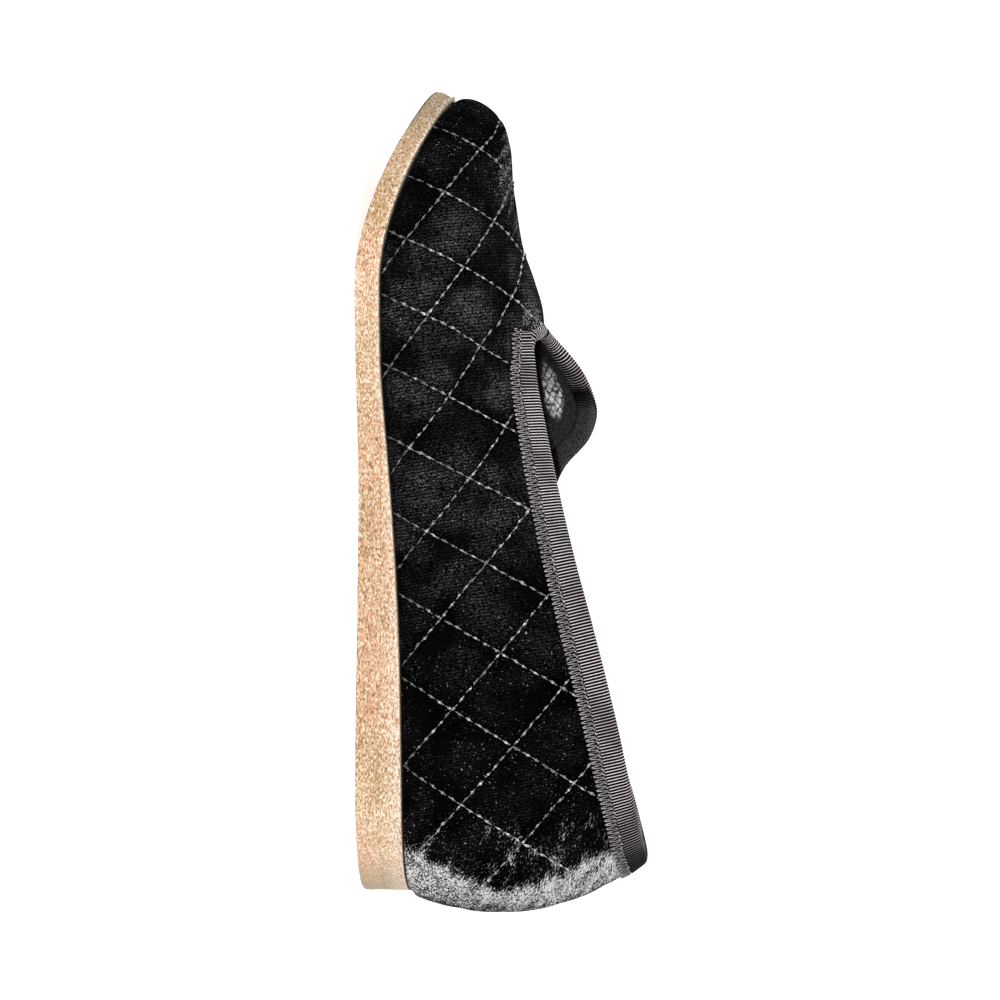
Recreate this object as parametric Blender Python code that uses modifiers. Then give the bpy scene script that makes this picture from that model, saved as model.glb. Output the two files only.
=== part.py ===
"""Quilted velvet slip-on flat: upper, ribbon binding, insole, heel wedge and outsole.

The shoe stands on its sole with +X towards the toe, +Y towards its inner side and +Z up.
Sizes are millimetres in the tables and are turned into metres as the meshes are made.
"""

from bisect import bisect_right
from collections import namedtuple
from math import acos, atan, cos, pi, radians, sin, sqrt

import bmesh
import bpy
import numpy as np
from mathutils import Vector
from mathutils.bvhtree import BVHTree
from mathutils.interpolate import poly_3d_calc

MM = 0.001

# Driving sizes of the sole
HEEL_END_X = -116.0
TOE_TIP_X = 121.2
OUTSOLE_THICK = 6.8
TOE_EDGE_THICK = 6.2
TOE_SPRING = 19.0
SPRING_START_X = 64.0
SPRING_POWER = 1.6
WAIST_ARCH = 0.4
WAIST_FROM_X = -32.0
WAIST_TO_X = 46.0
WEDGE_LIFT = 6.4
WEDGE_FULL_X = -95.0
WEDGE_END_X = 40.0
WEDGE_EASE = 0.05
WEDGE_FRONT_THICK = 0.3
EDGE_ROUND = 0.7
EDGE_SEGMENTS = 2
ROUNDED_ANGLE_DEG = 50

# Driving sizes of the upper
SEAT_GAP = 0.3
WALL = 1.8
LOWER_FULLNESS = 0.38
UPPER_FULLNESS = 0.36
HEEL_CENTRE_X = -86.0
THROAT_STATION = 0.637

# Driving sizes of the insole and of the ribbon over the collar's edge
INSOLE_THICK = 2.2
INSOLE_CLEARANCE = 0.7
RIBBON_WIDTH = 7.2
RIBBON_THROAT_WIDTH = 4.6
RIBBON_INSIDE_SHARE = 0.64
RIBBON_TAPER = 30
RIBBON_THICK = 0.7
RIBBON_GAP = 0.35
RIBBON_THROAT_GAP = 0.8

# Middle of the shoe's box in plan, which is placed over the origin
MIDDLE_X = -0.35
MIDDLE_Y = 0.55

# Mesh steps
COLLAR_STEPS = 44
VAMP_STEPS = 14
WALL_STEPS = 10
SOLE_STEPS = 56
COLLAR_CROWDING = 1.3
RIBBON_STEPS = 58
RIBBON_CROWDING = 1.6
LEG_SHARES = (0, 0.5, 1)
RIDGE_SLOPE_STEP = 0.01
WELD_DISTANCE = 0.01
SHARP_ANGLE_DEG = 40

# Stations run round half of the sole, from 0 at the heel's back to 1 at the toe's tip.
# Half width and centre line of the sole, how far in from its edge the upper meets it, and the
# upper's outward lean there.
PlanRow = namedtuple("PlanRow", "station half_width centre feather_in flare_deg")
PLAN = (
    PlanRow(0.00, 0.0, 0.0, -1.0, 21.5),
    PlanRow(0.10, 17.5, 0.0, -0.6, 21.0),
    PlanRow(0.20, 27.3, 0.0, 0.4, 17.0),
    PlanRow(0.30, 30.2, -0.4, 1.0, 15.0),
    PlanRow(0.40, 30.6, -1.6, 1.0, 14.0),
    PlanRow(0.50, 33.8, -2.4, 1.0, 14.0),
    PlanRow(0.60, 39.2, -1.2, 1.0, 15.0),
    PlanRow(0.65, 40.6, 0.6, 1.0, 16.0),
    PlanRow(0.70, 39.3, 2.0, 1.0, 16.0),
    PlanRow(0.80, 30.2, 4.0, 1.4, 16.0),
    PlanRow(0.90, 15.6, 5.2, 2.2, 19.0),
    PlanRow(1.00, 0.0, 6.0, 2.8, 24.0),
)

# Ridge of the vamp from the throat to the crown of the toe, with the wall's inward lean there:
# a low crest at the throat that levels out ahead of it.
RidgeRow = namedtuple("RidgeRow", "station x z lean_deg")
RIDGE = (
    RidgeRow(THROAT_STATION, 52.0, 51.2, 70.0),
    RidgeRow(0.66, 57.6, 50.6, 75.4),
    RidgeRow(0.70, 66.0, 48.2, 82.6),
    RidgeRow(0.76, 78.0, 44.2, 90.0),
    RidgeRow(0.82, 90.0, 42.2, 90.0),
    RidgeRow(0.90, 101.5, 41.0, 90.0),
    RidgeRow(1.00, 109.0, 39.2, 90.0),
)

# Edge of the collar from the heel's back to the throat, with the wall's inward lean there
CollarRow = namedtuple("CollarRow", "station x y z lean_deg")
INNER_COLLAR = (
    CollarRow(0.00, -105.6, 0.0, 82.2, 40.0),
    CollarRow(0.04, -105.2, 4.2, 82.2, 39.0),
    CollarRow(0.10, -102.5, 10.2, 81.8, 34.0),
    CollarRow(0.15, -97.2, 15.6, 80.8, 26.0),
    CollarRow(0.20, -88.7, 20.6, 79.2, 18.0),
    CollarRow(0.25, -78.0, 24.6, 76.9, 11.0),
    CollarRow(0.30, -65.3, 27.2, 74.2, 7.0),
    CollarRow(0.40, -33.4, 28.6, 66.1, 10.0),
    CollarRow(0.45, -15.5, 25.8, 61.0, 16.0),
    CollarRow(0.50, 3.2, 20.2, 56.0, 22.0),
    CollarRow(0.55, 21.6, 13.8, 51.5, 27.0),
    CollarRow(0.60, 39.2, 9.6, 48.0, 34.0),
    CollarRow(0.62, 46.2, 8.4, 47.7, 42.0),
    CollarRow(0.632, 50.6, 5.2, 49.4, 57.0),
    CollarRow(THROAT_STATION, 52.0, 0.1, 51.2, 70.0),
)
OUTER_COLLAR = (
    CollarRow(0.00, -105.6, 0.0, 82.2, 40.0),
    CollarRow(0.04, -105.2, -4.2, 82.1, 39.0),
    CollarRow(0.10, -102.5, -10.2, 81.3, 34.0),
    CollarRow(0.15, -97.2, -15.8, 79.5, 26.0),
    CollarRow(0.20, -88.7, -21.0, 76.7, 18.0),
    CollarRow(0.25, -78.0, -25.4, 72.8, 11.0),
    CollarRow(0.30, -65.3, -28.6, 67.6, 7.0),
    CollarRow(0.40, -33.4, -31.6, 56.6, 6.0),
    CollarRow(0.45, -15.3, -31.0, 52.0, 8.0),
    CollarRow(0.50, 3.0, -27.8, 50.4, 14.0),
    CollarRow(0.525, 12.4, -24.6, 54.4, 17.0),
    CollarRow(0.55, 21.4, -21.0, 62.2, 19.0),
    CollarRow(0.57, 28.8, -18.0, 64.4, 21.0),
    CollarRow(0.585, 34.2, -14.8, 63.2, 25.0),
    CollarRow(0.60, 39.6, -11.4, 60.8, 36.0),
    CollarRow(0.615, 44.8, -8.8, 57.0, 49.0),
    CollarRow(0.626, 48.8, -6.2, 53.6, 60.5),
    CollarRow(0.632, 50.6, -3.6, 52.1, 66.5),
    CollarRow(THROAT_STATION, 52.0, 0.1, 51.2, 70.0),
)
INNER, OUTER = 1, -1
COLLARS = {INNER: INNER_COLLAR, OUTER: OUTER_COLLAR}

Finish = namedtuple("Finish", "name colour roughness")
VELVET = Finish("black_velvet", (0.008, 0.008, 0.010), 0.9)
GROSGRAIN = Finish("grey_grosgrain", (0.060, 0.052, 0.056), 0.55)
TAN_LEATHER = Finish("tan_leather", (0.60, 0.38, 0.20), 0.85)
TAN_WEDGE = Finish("pale_tan_leather", (0.64, 0.43, 0.26), 0.85)
INSOLE_CLOTH = Finish("dark_insole_cloth", (0.020, 0.021, 0.024), 0.8)


def column(table, name):
    """One named column of a table, as an array."""
    return np.array([getattr(row, name) for row in table])


def smooth(table, name, station):
    """Value of a column at a station, on the smooth curve through the table's rows."""
    stations, values = column(table, "station"), column(table, name)
    slopes = np.gradient(values, stations)
    low = min(max(bisect_right(stations.tolist(), station) - 1, 0), len(table) - 2)
    span = stations[low + 1] - stations[low]
    t = (station - stations[low]) / span
    rise = 3 * t**2 - 2 * t**3
    start_bow = span * slopes[low] * t * (1 - t) ** 2
    end_bow = span * slopes[low + 1] * t**2 * (t - 1)
    return values[low] + rise * (values[low + 1] - values[low]) + start_bow + end_bow


def plan_point(station, side, inset):
    """Point of the sole's outline, in plan, moved in from its edge."""
    length = TOE_TIP_X - HEEL_END_X
    middle = (TOE_TIP_X + HEEL_END_X) / 2
    x = middle - cos(pi * station) * (length / 2 - inset)
    reach = smooth(PLAN, "half_width", station) - inset * sqrt(sin(pi * station))
    return x, smooth(PLAN, "centre", station) + side * max(reach, 0.0)


def spring_share(x):
    """Share of the way along the toe spring, from its start to the toe's tip."""
    return max(0.0, (x - SPRING_START_X) / (TOE_TIP_X - SPRING_START_X))


def spring_angle(x):
    """Angle at which the sole rises towards the toe."""
    steepest = TOE_SPRING * SPRING_POWER / (TOE_TIP_X - SPRING_START_X)
    return atan(steepest * spring_share(x) ** (SPRING_POWER - 1))


def ground(x):
    """Height of the sole's underside: flat heel and forefoot, a low waist arch and the toe spring."""
    spring = spring_share(x)
    along_waist = min(max((x - WAIST_FROM_X) / (WAIST_TO_X - WAIST_FROM_X), 0.0), 1.0)
    return TOE_SPRING * spring**SPRING_POWER + WAIST_ARCH * sin(pi * along_waist) ** 2


def outsole_top(x):
    """Height of the outsole's upper face, thinned towards the toe."""
    spring = spring_share(x)
    thick = OUTSOLE_THICK - (OUTSOLE_THICK - TOE_EDGE_THICK) * spring
    return TOE_SPRING * spring**SPRING_POWER + thick


def wedge_lift(x):
    """How far the wedge raises the upper above the outsole, easing out to nothing at the ball."""
    share = min(max((WEDGE_END_X - x) / (WEDGE_END_X - WEDGE_FULL_X), 0.0), 1.0)
    eased = share**2 / (share + WEDGE_EASE) * (1 + WEDGE_EASE)
    return WEDGE_LIFT * sin(pi / 2 * eased)


def seat(x):
    """Height that the upper and the insole stand on, a seat gap above the sole or wedge."""
    return outsole_top(x) + wedge_lift(x) + SEAT_GAP


def inward(foot, station):
    """Level unit vector from the sole's edge to the shoe's spine, turning round the heel."""
    spine_y = smooth(PLAN, "centre", station)
    spine = Vector((max(foot.x, HEEL_CENTRE_X), spine_y, foot.z))
    return (spine - foot).normalized()


def rib_ends(side, station):
    """Foot, head, foot direction and head direction of one rib of the upper."""
    x, y = plan_point(station, side, smooth(PLAN, "feather_in", station))
    foot = Vector((x, y, seat(x)))
    flare = radians(smooth(PLAN, "flare_deg", station))
    up = Vector((0, 0, 1))
    if station <= THROAT_STATION:
        collar = COLLARS[side]
        head = Vector([smooth(collar, axis, station) for axis in "xyz"])
        lean = radians(smooth(collar, "lean_deg", station))
        turn = inward(foot, station)
        head_way = up * cos(lean) + turn * sin(lean)
    else:
        head_x, head_z = (smooth(RIDGE, axis, station) for axis in "xz")
        head = Vector((head_x, smooth(PLAN, "centre", station), head_z))
        turn = Vector((head.x - foot.x, head.y - foot.y, 0)).normalized()
        near = max(station - RIDGE_SLOPE_STEP, THROAT_STATION)
        slope = (head_z - smooth(RIDGE, "z", near)) / (head_x - smooth(RIDGE, "x", near))
        lean = radians(smooth(RIDGE, "lean_deg", station))
        head_way = up * cos(lean) + (turn + up * turn.x * slope).normalized() * sin(lean)
    foot_way = up * cos(flare) - turn * sin(flare)
    return foot, head, foot_way, head_way


def upper_point(side, station, share):
    """Point on the upper's outer face, a share of the way up a rib from sole to collar or ridge."""
    foot, head, foot_way, head_way = rib_ends(side, station)
    chord = (head - foot).length
    lower = foot + foot_way * chord * LOWER_FULLNESS
    upper = head - head_way * chord * UPPER_FULLNESS
    rest = 1 - share
    return (
        foot * rest**3
        + lower * 3 * rest**2 * share
        + upper * 3 * rest * share**2
        + head * share**3
    )


def collar_stations(steps, crowding):
    """Stations from the heel's back to the throat, crowded towards the throat."""
    shares = np.linspace(0, 1, steps + 1)
    return list(THROAT_STATION * (1 - (1 - shares) ** crowding))


def upper_stations():
    """Stations of the upper's ribs from the heel's back to the toe."""
    vamp = np.linspace(THROAT_STATION, 1, VAMP_STEPS + 1)[1:]
    return collar_stations(COLLAR_STEPS, COLLAR_CROWDING) + list(vamp)


def wrapped_grid(columns, rows, place):
    """A grid whose vertices are moved by place(column, row), with coincident vertices welded."""
    mesh = bmesh.new()
    bmesh.ops.create_grid(mesh, x_segments=columns, y_segments=rows, size=1)
    for vertex in mesh.verts:
        across = round((vertex.co.x + 1) / 2 * columns)
        along = round((vertex.co.y + 1) / 2 * rows)
        vertex.co = Vector(place(across, along)) * MM
    bmesh.ops.remove_doubles(mesh, verts=mesh.verts, dist=WELD_DISTANCE * MM)
    bmesh.ops.dissolve_degenerate(mesh, edges=mesh.edges, dist=WELD_DISTANCE * MM)
    return mesh


def face_away_from(mesh, centre):
    """Turns an open surface's faces so that they point away from a point inside it."""
    bmesh.ops.recalc_face_normals(mesh, faces=mesh.faces)
    facing = sum((f.calc_center_median() - centre).dot(f.normal) * f.calc_area() for f in mesh.faces)
    if facing < 0:
        bmesh.ops.reverse_faces(mesh, faces=mesh.faces)


def upper_surface():
    """The upper's outer face: one sheet from toe to toe round the heel, welded along the vamp."""
    stations = upper_stations()
    last = len(stations) - 1

    def place(across, along):
        side = INNER if across >= last else OUTER
        return upper_point(side, stations[abs(across - last)], along / WALL_STEPS)

    mesh = wrapped_grid(2 * last, WALL_STEPS, place)
    face_away_from(mesh, Vector((0, 0, WEDGE_LIFT * MM)))
    return mesh


def station_at(x):
    """Station of the sole's outline at a length along the shoe."""
    return acos(1 - 2 * (x - HEEL_END_X) / (TOE_TIP_X - HEEL_END_X)) / pi


def slab(inset_at, to_x, bottom, top):
    """A closed slab with the sole's outline between two heights, its edge square to the toe spring."""
    stations = np.linspace(0, station_at(to_x), SOLE_STEPS + 1)

    def place(across, along):
        station = stations[across]
        x, y = plan_point(station, INNER if along else OUTER, inset_at(station))
        return x, y, bottom(x)

    mesh = wrapped_grid(SOLE_STEPS, 1, place)
    raised = bmesh.ops.extrude_face_region(mesh, geom=mesh.faces[:])["geom"]
    for item in raised:
        if isinstance(item, bmesh.types.BMVert):
            x = item.co.x / MM
            angle = spring_angle(x)
            x -= (top(x) - bottom(x)) * sin(angle) * cos(angle)
            item.co.x = x * MM
            item.co.z = top(x) * MM
    bmesh.ops.recalc_face_normals(mesh, faces=mesh.faces)
    return mesh


def collar_loop():
    """Side and station of each step round the collar: inner throat, heel, and back to the throat."""
    stations = collar_stations(RIBBON_STEPS, RIBBON_CROWDING)
    inner = [(INNER, s) for s in reversed(stations)]
    outer = [(OUTER, s) for s in stations[1:-1]]
    return inner + outer


def nearest_on(surface, tree, point):
    """Nearest spot of a surface and the way out of it, lengthened at creases as a shell's is."""
    spot, _, index, _ = tree.find_nearest(point)
    corners = surface.faces[index].verts
    weights = poly_3d_calc([corner.co for corner in corners], spot)
    out = Vector()
    for corner, weight in zip(corners, weights):
        out += corner.normal * corner.calc_shell_factor() * weight
    return spot, out


def ribbon_ring(spots, inside_spots, edge_out, down, gap):
    """Closed section of the ribbon: outside leg, fold over the edge, inside leg and back."""
    near, far = gap * MM, (gap + RIBBON_THICK) * MM
    inner_near, inner_far = WALL * MM + near, WALL * MM + far
    edge = spots[0][0]
    outer_face = [spot + out * far for spot, out in reversed(spots)]
    fold = [edge + edge_out * near - down * far, edge - edge_out * inner_near - down * far]
    inner_face = [spot - out * inner_far for spot, out in inside_spots]
    inner_lining = [spot - out * inner_near for spot, out in reversed(inside_spots)]
    fold_lining = [edge - edge_out * inner_near - down * near, edge + edge_out * near - down * near]
    outer_lining = [spot + out * near for spot, out in spots]
    return outer_face + fold + inner_face + inner_lining + fold_lining + outer_lining


def ribbon_mesh(surface):
    """The ribbon: a channel over the collar's edge, a gap clear of the wall inside and outside."""
    surface.normal_update()
    surface.faces.ensure_lookup_table()
    tree = BVHTree.FromBMesh(surface)
    loop = collar_loop()
    edge = [upper_point(side, station, 1) * MM for side, station in loop]
    below = [upper_point(side, station, 1 - 1 / WALL_STEPS) * MM for side, station in loop]
    below[0] = edge[0] + Vector((MM, 0, 0))
    rings = []
    for i, (_, station) in enumerate(loop):
        along = edge[(i + 1) % len(loop)] - edge[i - 1]
        edge_out = nearest_on(surface, tree, edge[i])[1]
        down = edge_out.cross(along).normalized()
        if down.dot(below[i] - edge[i]) < 0:
            down.negate()
        throat_share = (station / THROAT_STATION) ** RIBBON_TAPER
        width = RIBBON_WIDTH + (RIBBON_THROAT_WIDTH - RIBBON_WIDTH) * throat_share
        spots, inside_spots = (
            [nearest_on(surface, tree, edge[i] + down * reach * share * MM) for share in LEG_SHARES]
            for reach in (width, width * RIBBON_INSIDE_SHARE)
        )
        gap = RIBBON_GAP + (RIBBON_THROAT_GAP - RIBBON_GAP) * throat_share
        rings.append(ribbon_ring(spots, inside_spots, edge_out, down, gap))

    def place(across, along):
        ring = rings[across % len(rings)]
        return ring[along % len(ring)] / MM

    mesh = wrapped_grid(len(rings), len(rings[0]), place)
    bmesh.ops.recalc_face_normals(mesh, faces=mesh.faces)
    return mesh


def material(finish):
    """A Principled material of the finish's colour and roughness."""
    made = bpy.data.materials.new(finish.name)
    made.use_nodes = True
    shader = made.node_tree.nodes["Principled BSDF"]
    shader.inputs["Base Color"].default_value = (*finish.colour, 1)
    shader.inputs["Roughness"].default_value = finish.roughness
    shader.inputs["Metallic"].default_value = 0
    made.diffuse_color = (*finish.colour, 1)
    return made


def add_piece(name, mesh, finish, shoe, collection):
    """Turns a bmesh into a named object of the shoe."""
    data = bpy.data.meshes.new(name)
    mesh.to_mesh(data)
    data.shade_smooth()
    data.set_sharp_from_angle(angle=radians(SHARP_ANGLE_DEG))
    data.materials.append(material(finish))
    piece = bpy.data.objects.new(name, data)
    collection.objects.link(piece)
    piece.parent = shoe
    return piece


def round_edges(piece):
    """Rounds the rim of a leather layer."""
    bevel = piece.modifiers.new("edge_round", "BEVEL")
    bevel.width = EDGE_ROUND * MM
    bevel.segments = EDGE_SEGMENTS
    bevel.limit_method = "ANGLE"
    bevel.angle_limit = radians(ROUNDED_ANGLE_DEG)


def thicken(piece):
    """Gives the upper its wall, inwards from its outer face."""
    wall = piece.modifiers.new("wall", "SOLIDIFY")
    wall.thickness = WALL * MM
    wall.offset = -1
    wall.use_even_offset = True
    wall.use_quality_normals = True


def clear_scene():
    """Removes what the scene starts with."""
    for old in list(bpy.data.objects):
        bpy.data.objects.remove(old)


def main():
    clear_scene()
    collection = bpy.data.collections.new("quilted_velvet_flat")
    bpy.context.scene.collection.children.link(collection)
    shoe = bpy.data.objects.new("shoe", None)
    shoe.location = Vector((-MIDDLE_X, -MIDDLE_Y, 0)) * MM
    collection.objects.link(shoe)

    outsole = slab(lambda station: 0, TOE_TIP_X, ground, outsole_top)
    round_edges(add_piece("outsole", outsole, TAN_LEATHER, shoe, collection))

    lengths = np.linspace(HEEL_END_X, WEDGE_END_X, SOLE_STEPS)
    wedge_front = max(x for x in lengths if wedge_lift(x) > SEAT_GAP + WEDGE_FRONT_THICK)
    wedge = slab(
        lambda station: 0,
        wedge_front,
        lambda x: outsole_top(x) + SEAT_GAP,
        lambda x: outsole_top(x) + wedge_lift(x),
    )
    add_piece("heel_wedge", wedge, TAN_WEDGE, shoe, collection)

    insole = slab(
        lambda station: smooth(PLAN, "feather_in", station) + WALL + INSOLE_CLEARANCE,
        TOE_TIP_X,
        seat,
        lambda x: seat(x) + INSOLE_THICK,
    )
    add_piece("insole", insole, INSOLE_CLOTH, shoe, collection)

    surface = upper_surface()
    thicken(add_piece("upper", surface, VELVET, shoe, collection))
    add_piece("collar_binding", ribbon_mesh(surface), GROSGRAIN, shoe, collection)


main()
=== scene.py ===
"""Looks of the quilted velvet slip-on flat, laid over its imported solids.

The shoe stands on its sole with +X towards the toe, +Y towards its inner side and +Z up.
Sizes are millimetres in the tables and become metres as the meshes are made.
"""

import logging
from dataclasses import dataclass, field
from enum import Enum
from math import acos, cos, pi, radians, sin
from typing import Callable, NamedTuple, Sequence

import bmesh
import bpy
import numpy as np
from bmesh.types import BMesh, BMVert
from bpy.types import Material, Node, NodeSocket, Object
from mathutils import Matrix, Vector, noise
from mathutils.bvhtree import BVHTree


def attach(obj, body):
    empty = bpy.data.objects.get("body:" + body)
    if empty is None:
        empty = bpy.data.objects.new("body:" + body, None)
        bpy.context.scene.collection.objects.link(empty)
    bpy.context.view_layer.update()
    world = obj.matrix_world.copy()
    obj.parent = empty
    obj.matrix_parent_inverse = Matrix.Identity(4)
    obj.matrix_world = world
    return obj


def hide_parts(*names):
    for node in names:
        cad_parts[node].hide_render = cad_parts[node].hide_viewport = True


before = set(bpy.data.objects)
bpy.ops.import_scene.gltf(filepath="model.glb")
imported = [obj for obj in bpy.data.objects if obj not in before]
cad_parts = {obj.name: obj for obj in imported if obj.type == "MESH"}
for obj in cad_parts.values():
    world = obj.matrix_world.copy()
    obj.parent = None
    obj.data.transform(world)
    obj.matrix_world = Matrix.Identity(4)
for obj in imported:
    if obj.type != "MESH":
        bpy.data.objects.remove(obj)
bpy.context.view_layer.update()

MM = 0.001
WELD = 0.01 * MM
TINY = 1e-9
LOG = logging.getLogger("quilted_flat")
Array = np.ndarray
Span = tuple[float, float]
Triple = tuple[float, float, float]
Colour = Triple


class Side(Enum):
    """The two sides of the shoe, as the sign of Y."""

    INNER = 1
    OUTER = -1


class PlanRow(NamedTuple):
    """Half width and centre line of the sole, the upper's place in from its edge and its flare."""

    station: float
    half_width: float
    centre: float
    feather_in: float
    flare_deg: float


class RidgeRow(NamedTuple):
    """A point of the vamp's ridge and the wall's inward lean there."""

    station: float
    x: float
    z: float
    lean_deg: float


class CollarRow(NamedTuple):
    """A point of the collar's edge and the wall's inward lean there."""

    station: float
    x: float
    y: float
    z: float
    lean_deg: float


THROAT = 0.637
STROKE_SLANT = 0.45

PLAN = tuple(PlanRow(*row) for row in (
    (0.00, 0.0, 0.0, -1.0, 21.5),
    (0.10, 17.5, 0.0, -0.6, 21.0),
    (0.20, 27.3, 0.0, 0.4, 17.0),
    (0.30, 30.2, -0.4, 1.0, 15.0),
    (0.40, 30.6, -1.6, 1.0, 14.0),
    (0.50, 33.8, -2.4, 1.0, 14.0),
    (0.60, 39.2, -1.2, 1.0, 15.0),
    (0.65, 40.6, 0.6, 1.0, 16.0),
    (0.70, 39.3, 2.0, 1.0, 16.0),
    (0.80, 30.2, 4.0, 1.4, 16.0),
    (0.90, 15.6, 5.2, 2.2, 19.0),
    (1.00, 0.0, 6.0, 2.8, 24.0),
))

RIDGE = tuple(RidgeRow(*row) for row in (
    (THROAT, 52.0, 51.2, 70.0),
    (0.66, 57.6, 50.6, 75.4),
    (0.70, 66.0, 48.2, 82.6),
    (0.76, 78.0, 44.2, 90.0),
    (0.82, 90.0, 42.2, 90.0),
    (0.90, 101.5, 41.0, 90.0),
    (1.00, 109.0, 39.2, 90.0),
))

INNER_COLLAR = tuple(CollarRow(*row) for row in (
    (0.00, -105.6, 0.0, 82.2, 40.0),
    (0.04, -105.2, 4.2, 82.2, 39.0),
    (0.10, -102.5, 10.2, 81.8, 34.0),
    (0.15, -97.2, 15.6, 80.8, 26.0),
    (0.20, -88.7, 20.6, 79.2, 18.0),
    (0.25, -78.0, 24.6, 76.9, 11.0),
    (0.30, -65.3, 27.2, 74.2, 7.0),
    (0.40, -33.4, 28.6, 66.1, 10.0),
    (0.45, -15.5, 25.8, 61.0, 16.0),
    (0.50, 3.2, 20.2, 56.0, 22.0),
    (0.55, 21.6, 13.8, 51.5, 27.0),
    (0.60, 39.2, 9.6, 48.0, 34.0),
    (0.62, 46.2, 8.4, 47.7, 42.0),
    (0.632, 50.6, 5.2, 49.4, 57.0),
    (THROAT, 52.0, 0.1, 51.2, 70.0),
))

OUTER_COLLAR = tuple(CollarRow(*row) for row in (
    (0.00, -105.6, 0.0, 82.2, 40.0),
    (0.04, -105.2, -4.2, 82.1, 39.0),
    (0.10, -102.5, -10.2, 81.3, 34.0),
    (0.15, -97.2, -15.8, 79.5, 26.0),
    (0.20, -88.7, -21.0, 76.7, 18.0),
    (0.25, -78.0, -25.4, 72.8, 11.0),
    (0.30, -65.3, -28.6, 67.6, 7.0),
    (0.40, -33.4, -31.6, 56.6, 6.0),
    (0.45, -15.3, -31.0, 52.0, 8.0),
    (0.50, 3.0, -27.8, 50.4, 14.0),
    (0.525, 12.4, -24.6, 54.4, 17.0),
    (0.55, 21.4, -21.0, 62.2, 19.0),
    (0.57, 28.8, -18.0, 64.4, 21.0),
    (0.585, 34.2, -14.8, 63.2, 25.0),
    (0.60, 39.6, -11.4, 60.8, 36.0),
    (0.615, 44.8, -8.8, 57.0, 49.0),
    (0.626, 48.8, -6.2, 53.6, 60.5),
    (0.632, 50.6, -3.6, 52.1, 66.5),
    (THROAT, 52.0, 0.1, 51.2, 70.0),
))

COLLARS = {Side.INNER: INNER_COLLAR, Side.OUTER: OUTER_COLLAR}


def curve(table: Sequence[NamedTuple], name: str, stations: Array) -> Array:
    """Values of a table's column on the smooth curve through its rows.

    Args:
        table: rows with a station column.
        name: the column to read.
        stations: where to read it.

    Returns:
        One value for each station.
    """
    at = np.array([row.station for row in table])
    values = np.array([getattr(row, name) for row in table])
    slopes = np.gradient(values, at)
    low = np.clip(np.searchsorted(at, stations, side="right") - 1, 0, len(at) - 2)
    span = at[low + 1] - at[low]
    t = (stations - at[low]) / span
    rise = 3 * t**2 - 2 * t**3
    start_bow = span * slopes[low] * t * (1 - t) ** 2
    end_bow = span * slopes[low + 1] * t**2 * (t - 1)
    return values[low] + rise * (values[low + 1] - values[low]) + start_bow + end_bow


def ease(value: Array | float, start: float, end: float) -> Array:
    """Smooth step from 0 at start to 1 at end, which may come before the start."""
    t = np.clip((np.asarray(value, float) - start) / (end - start), 0, 1)
    return t * t * (3 - 2 * t)


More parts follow.
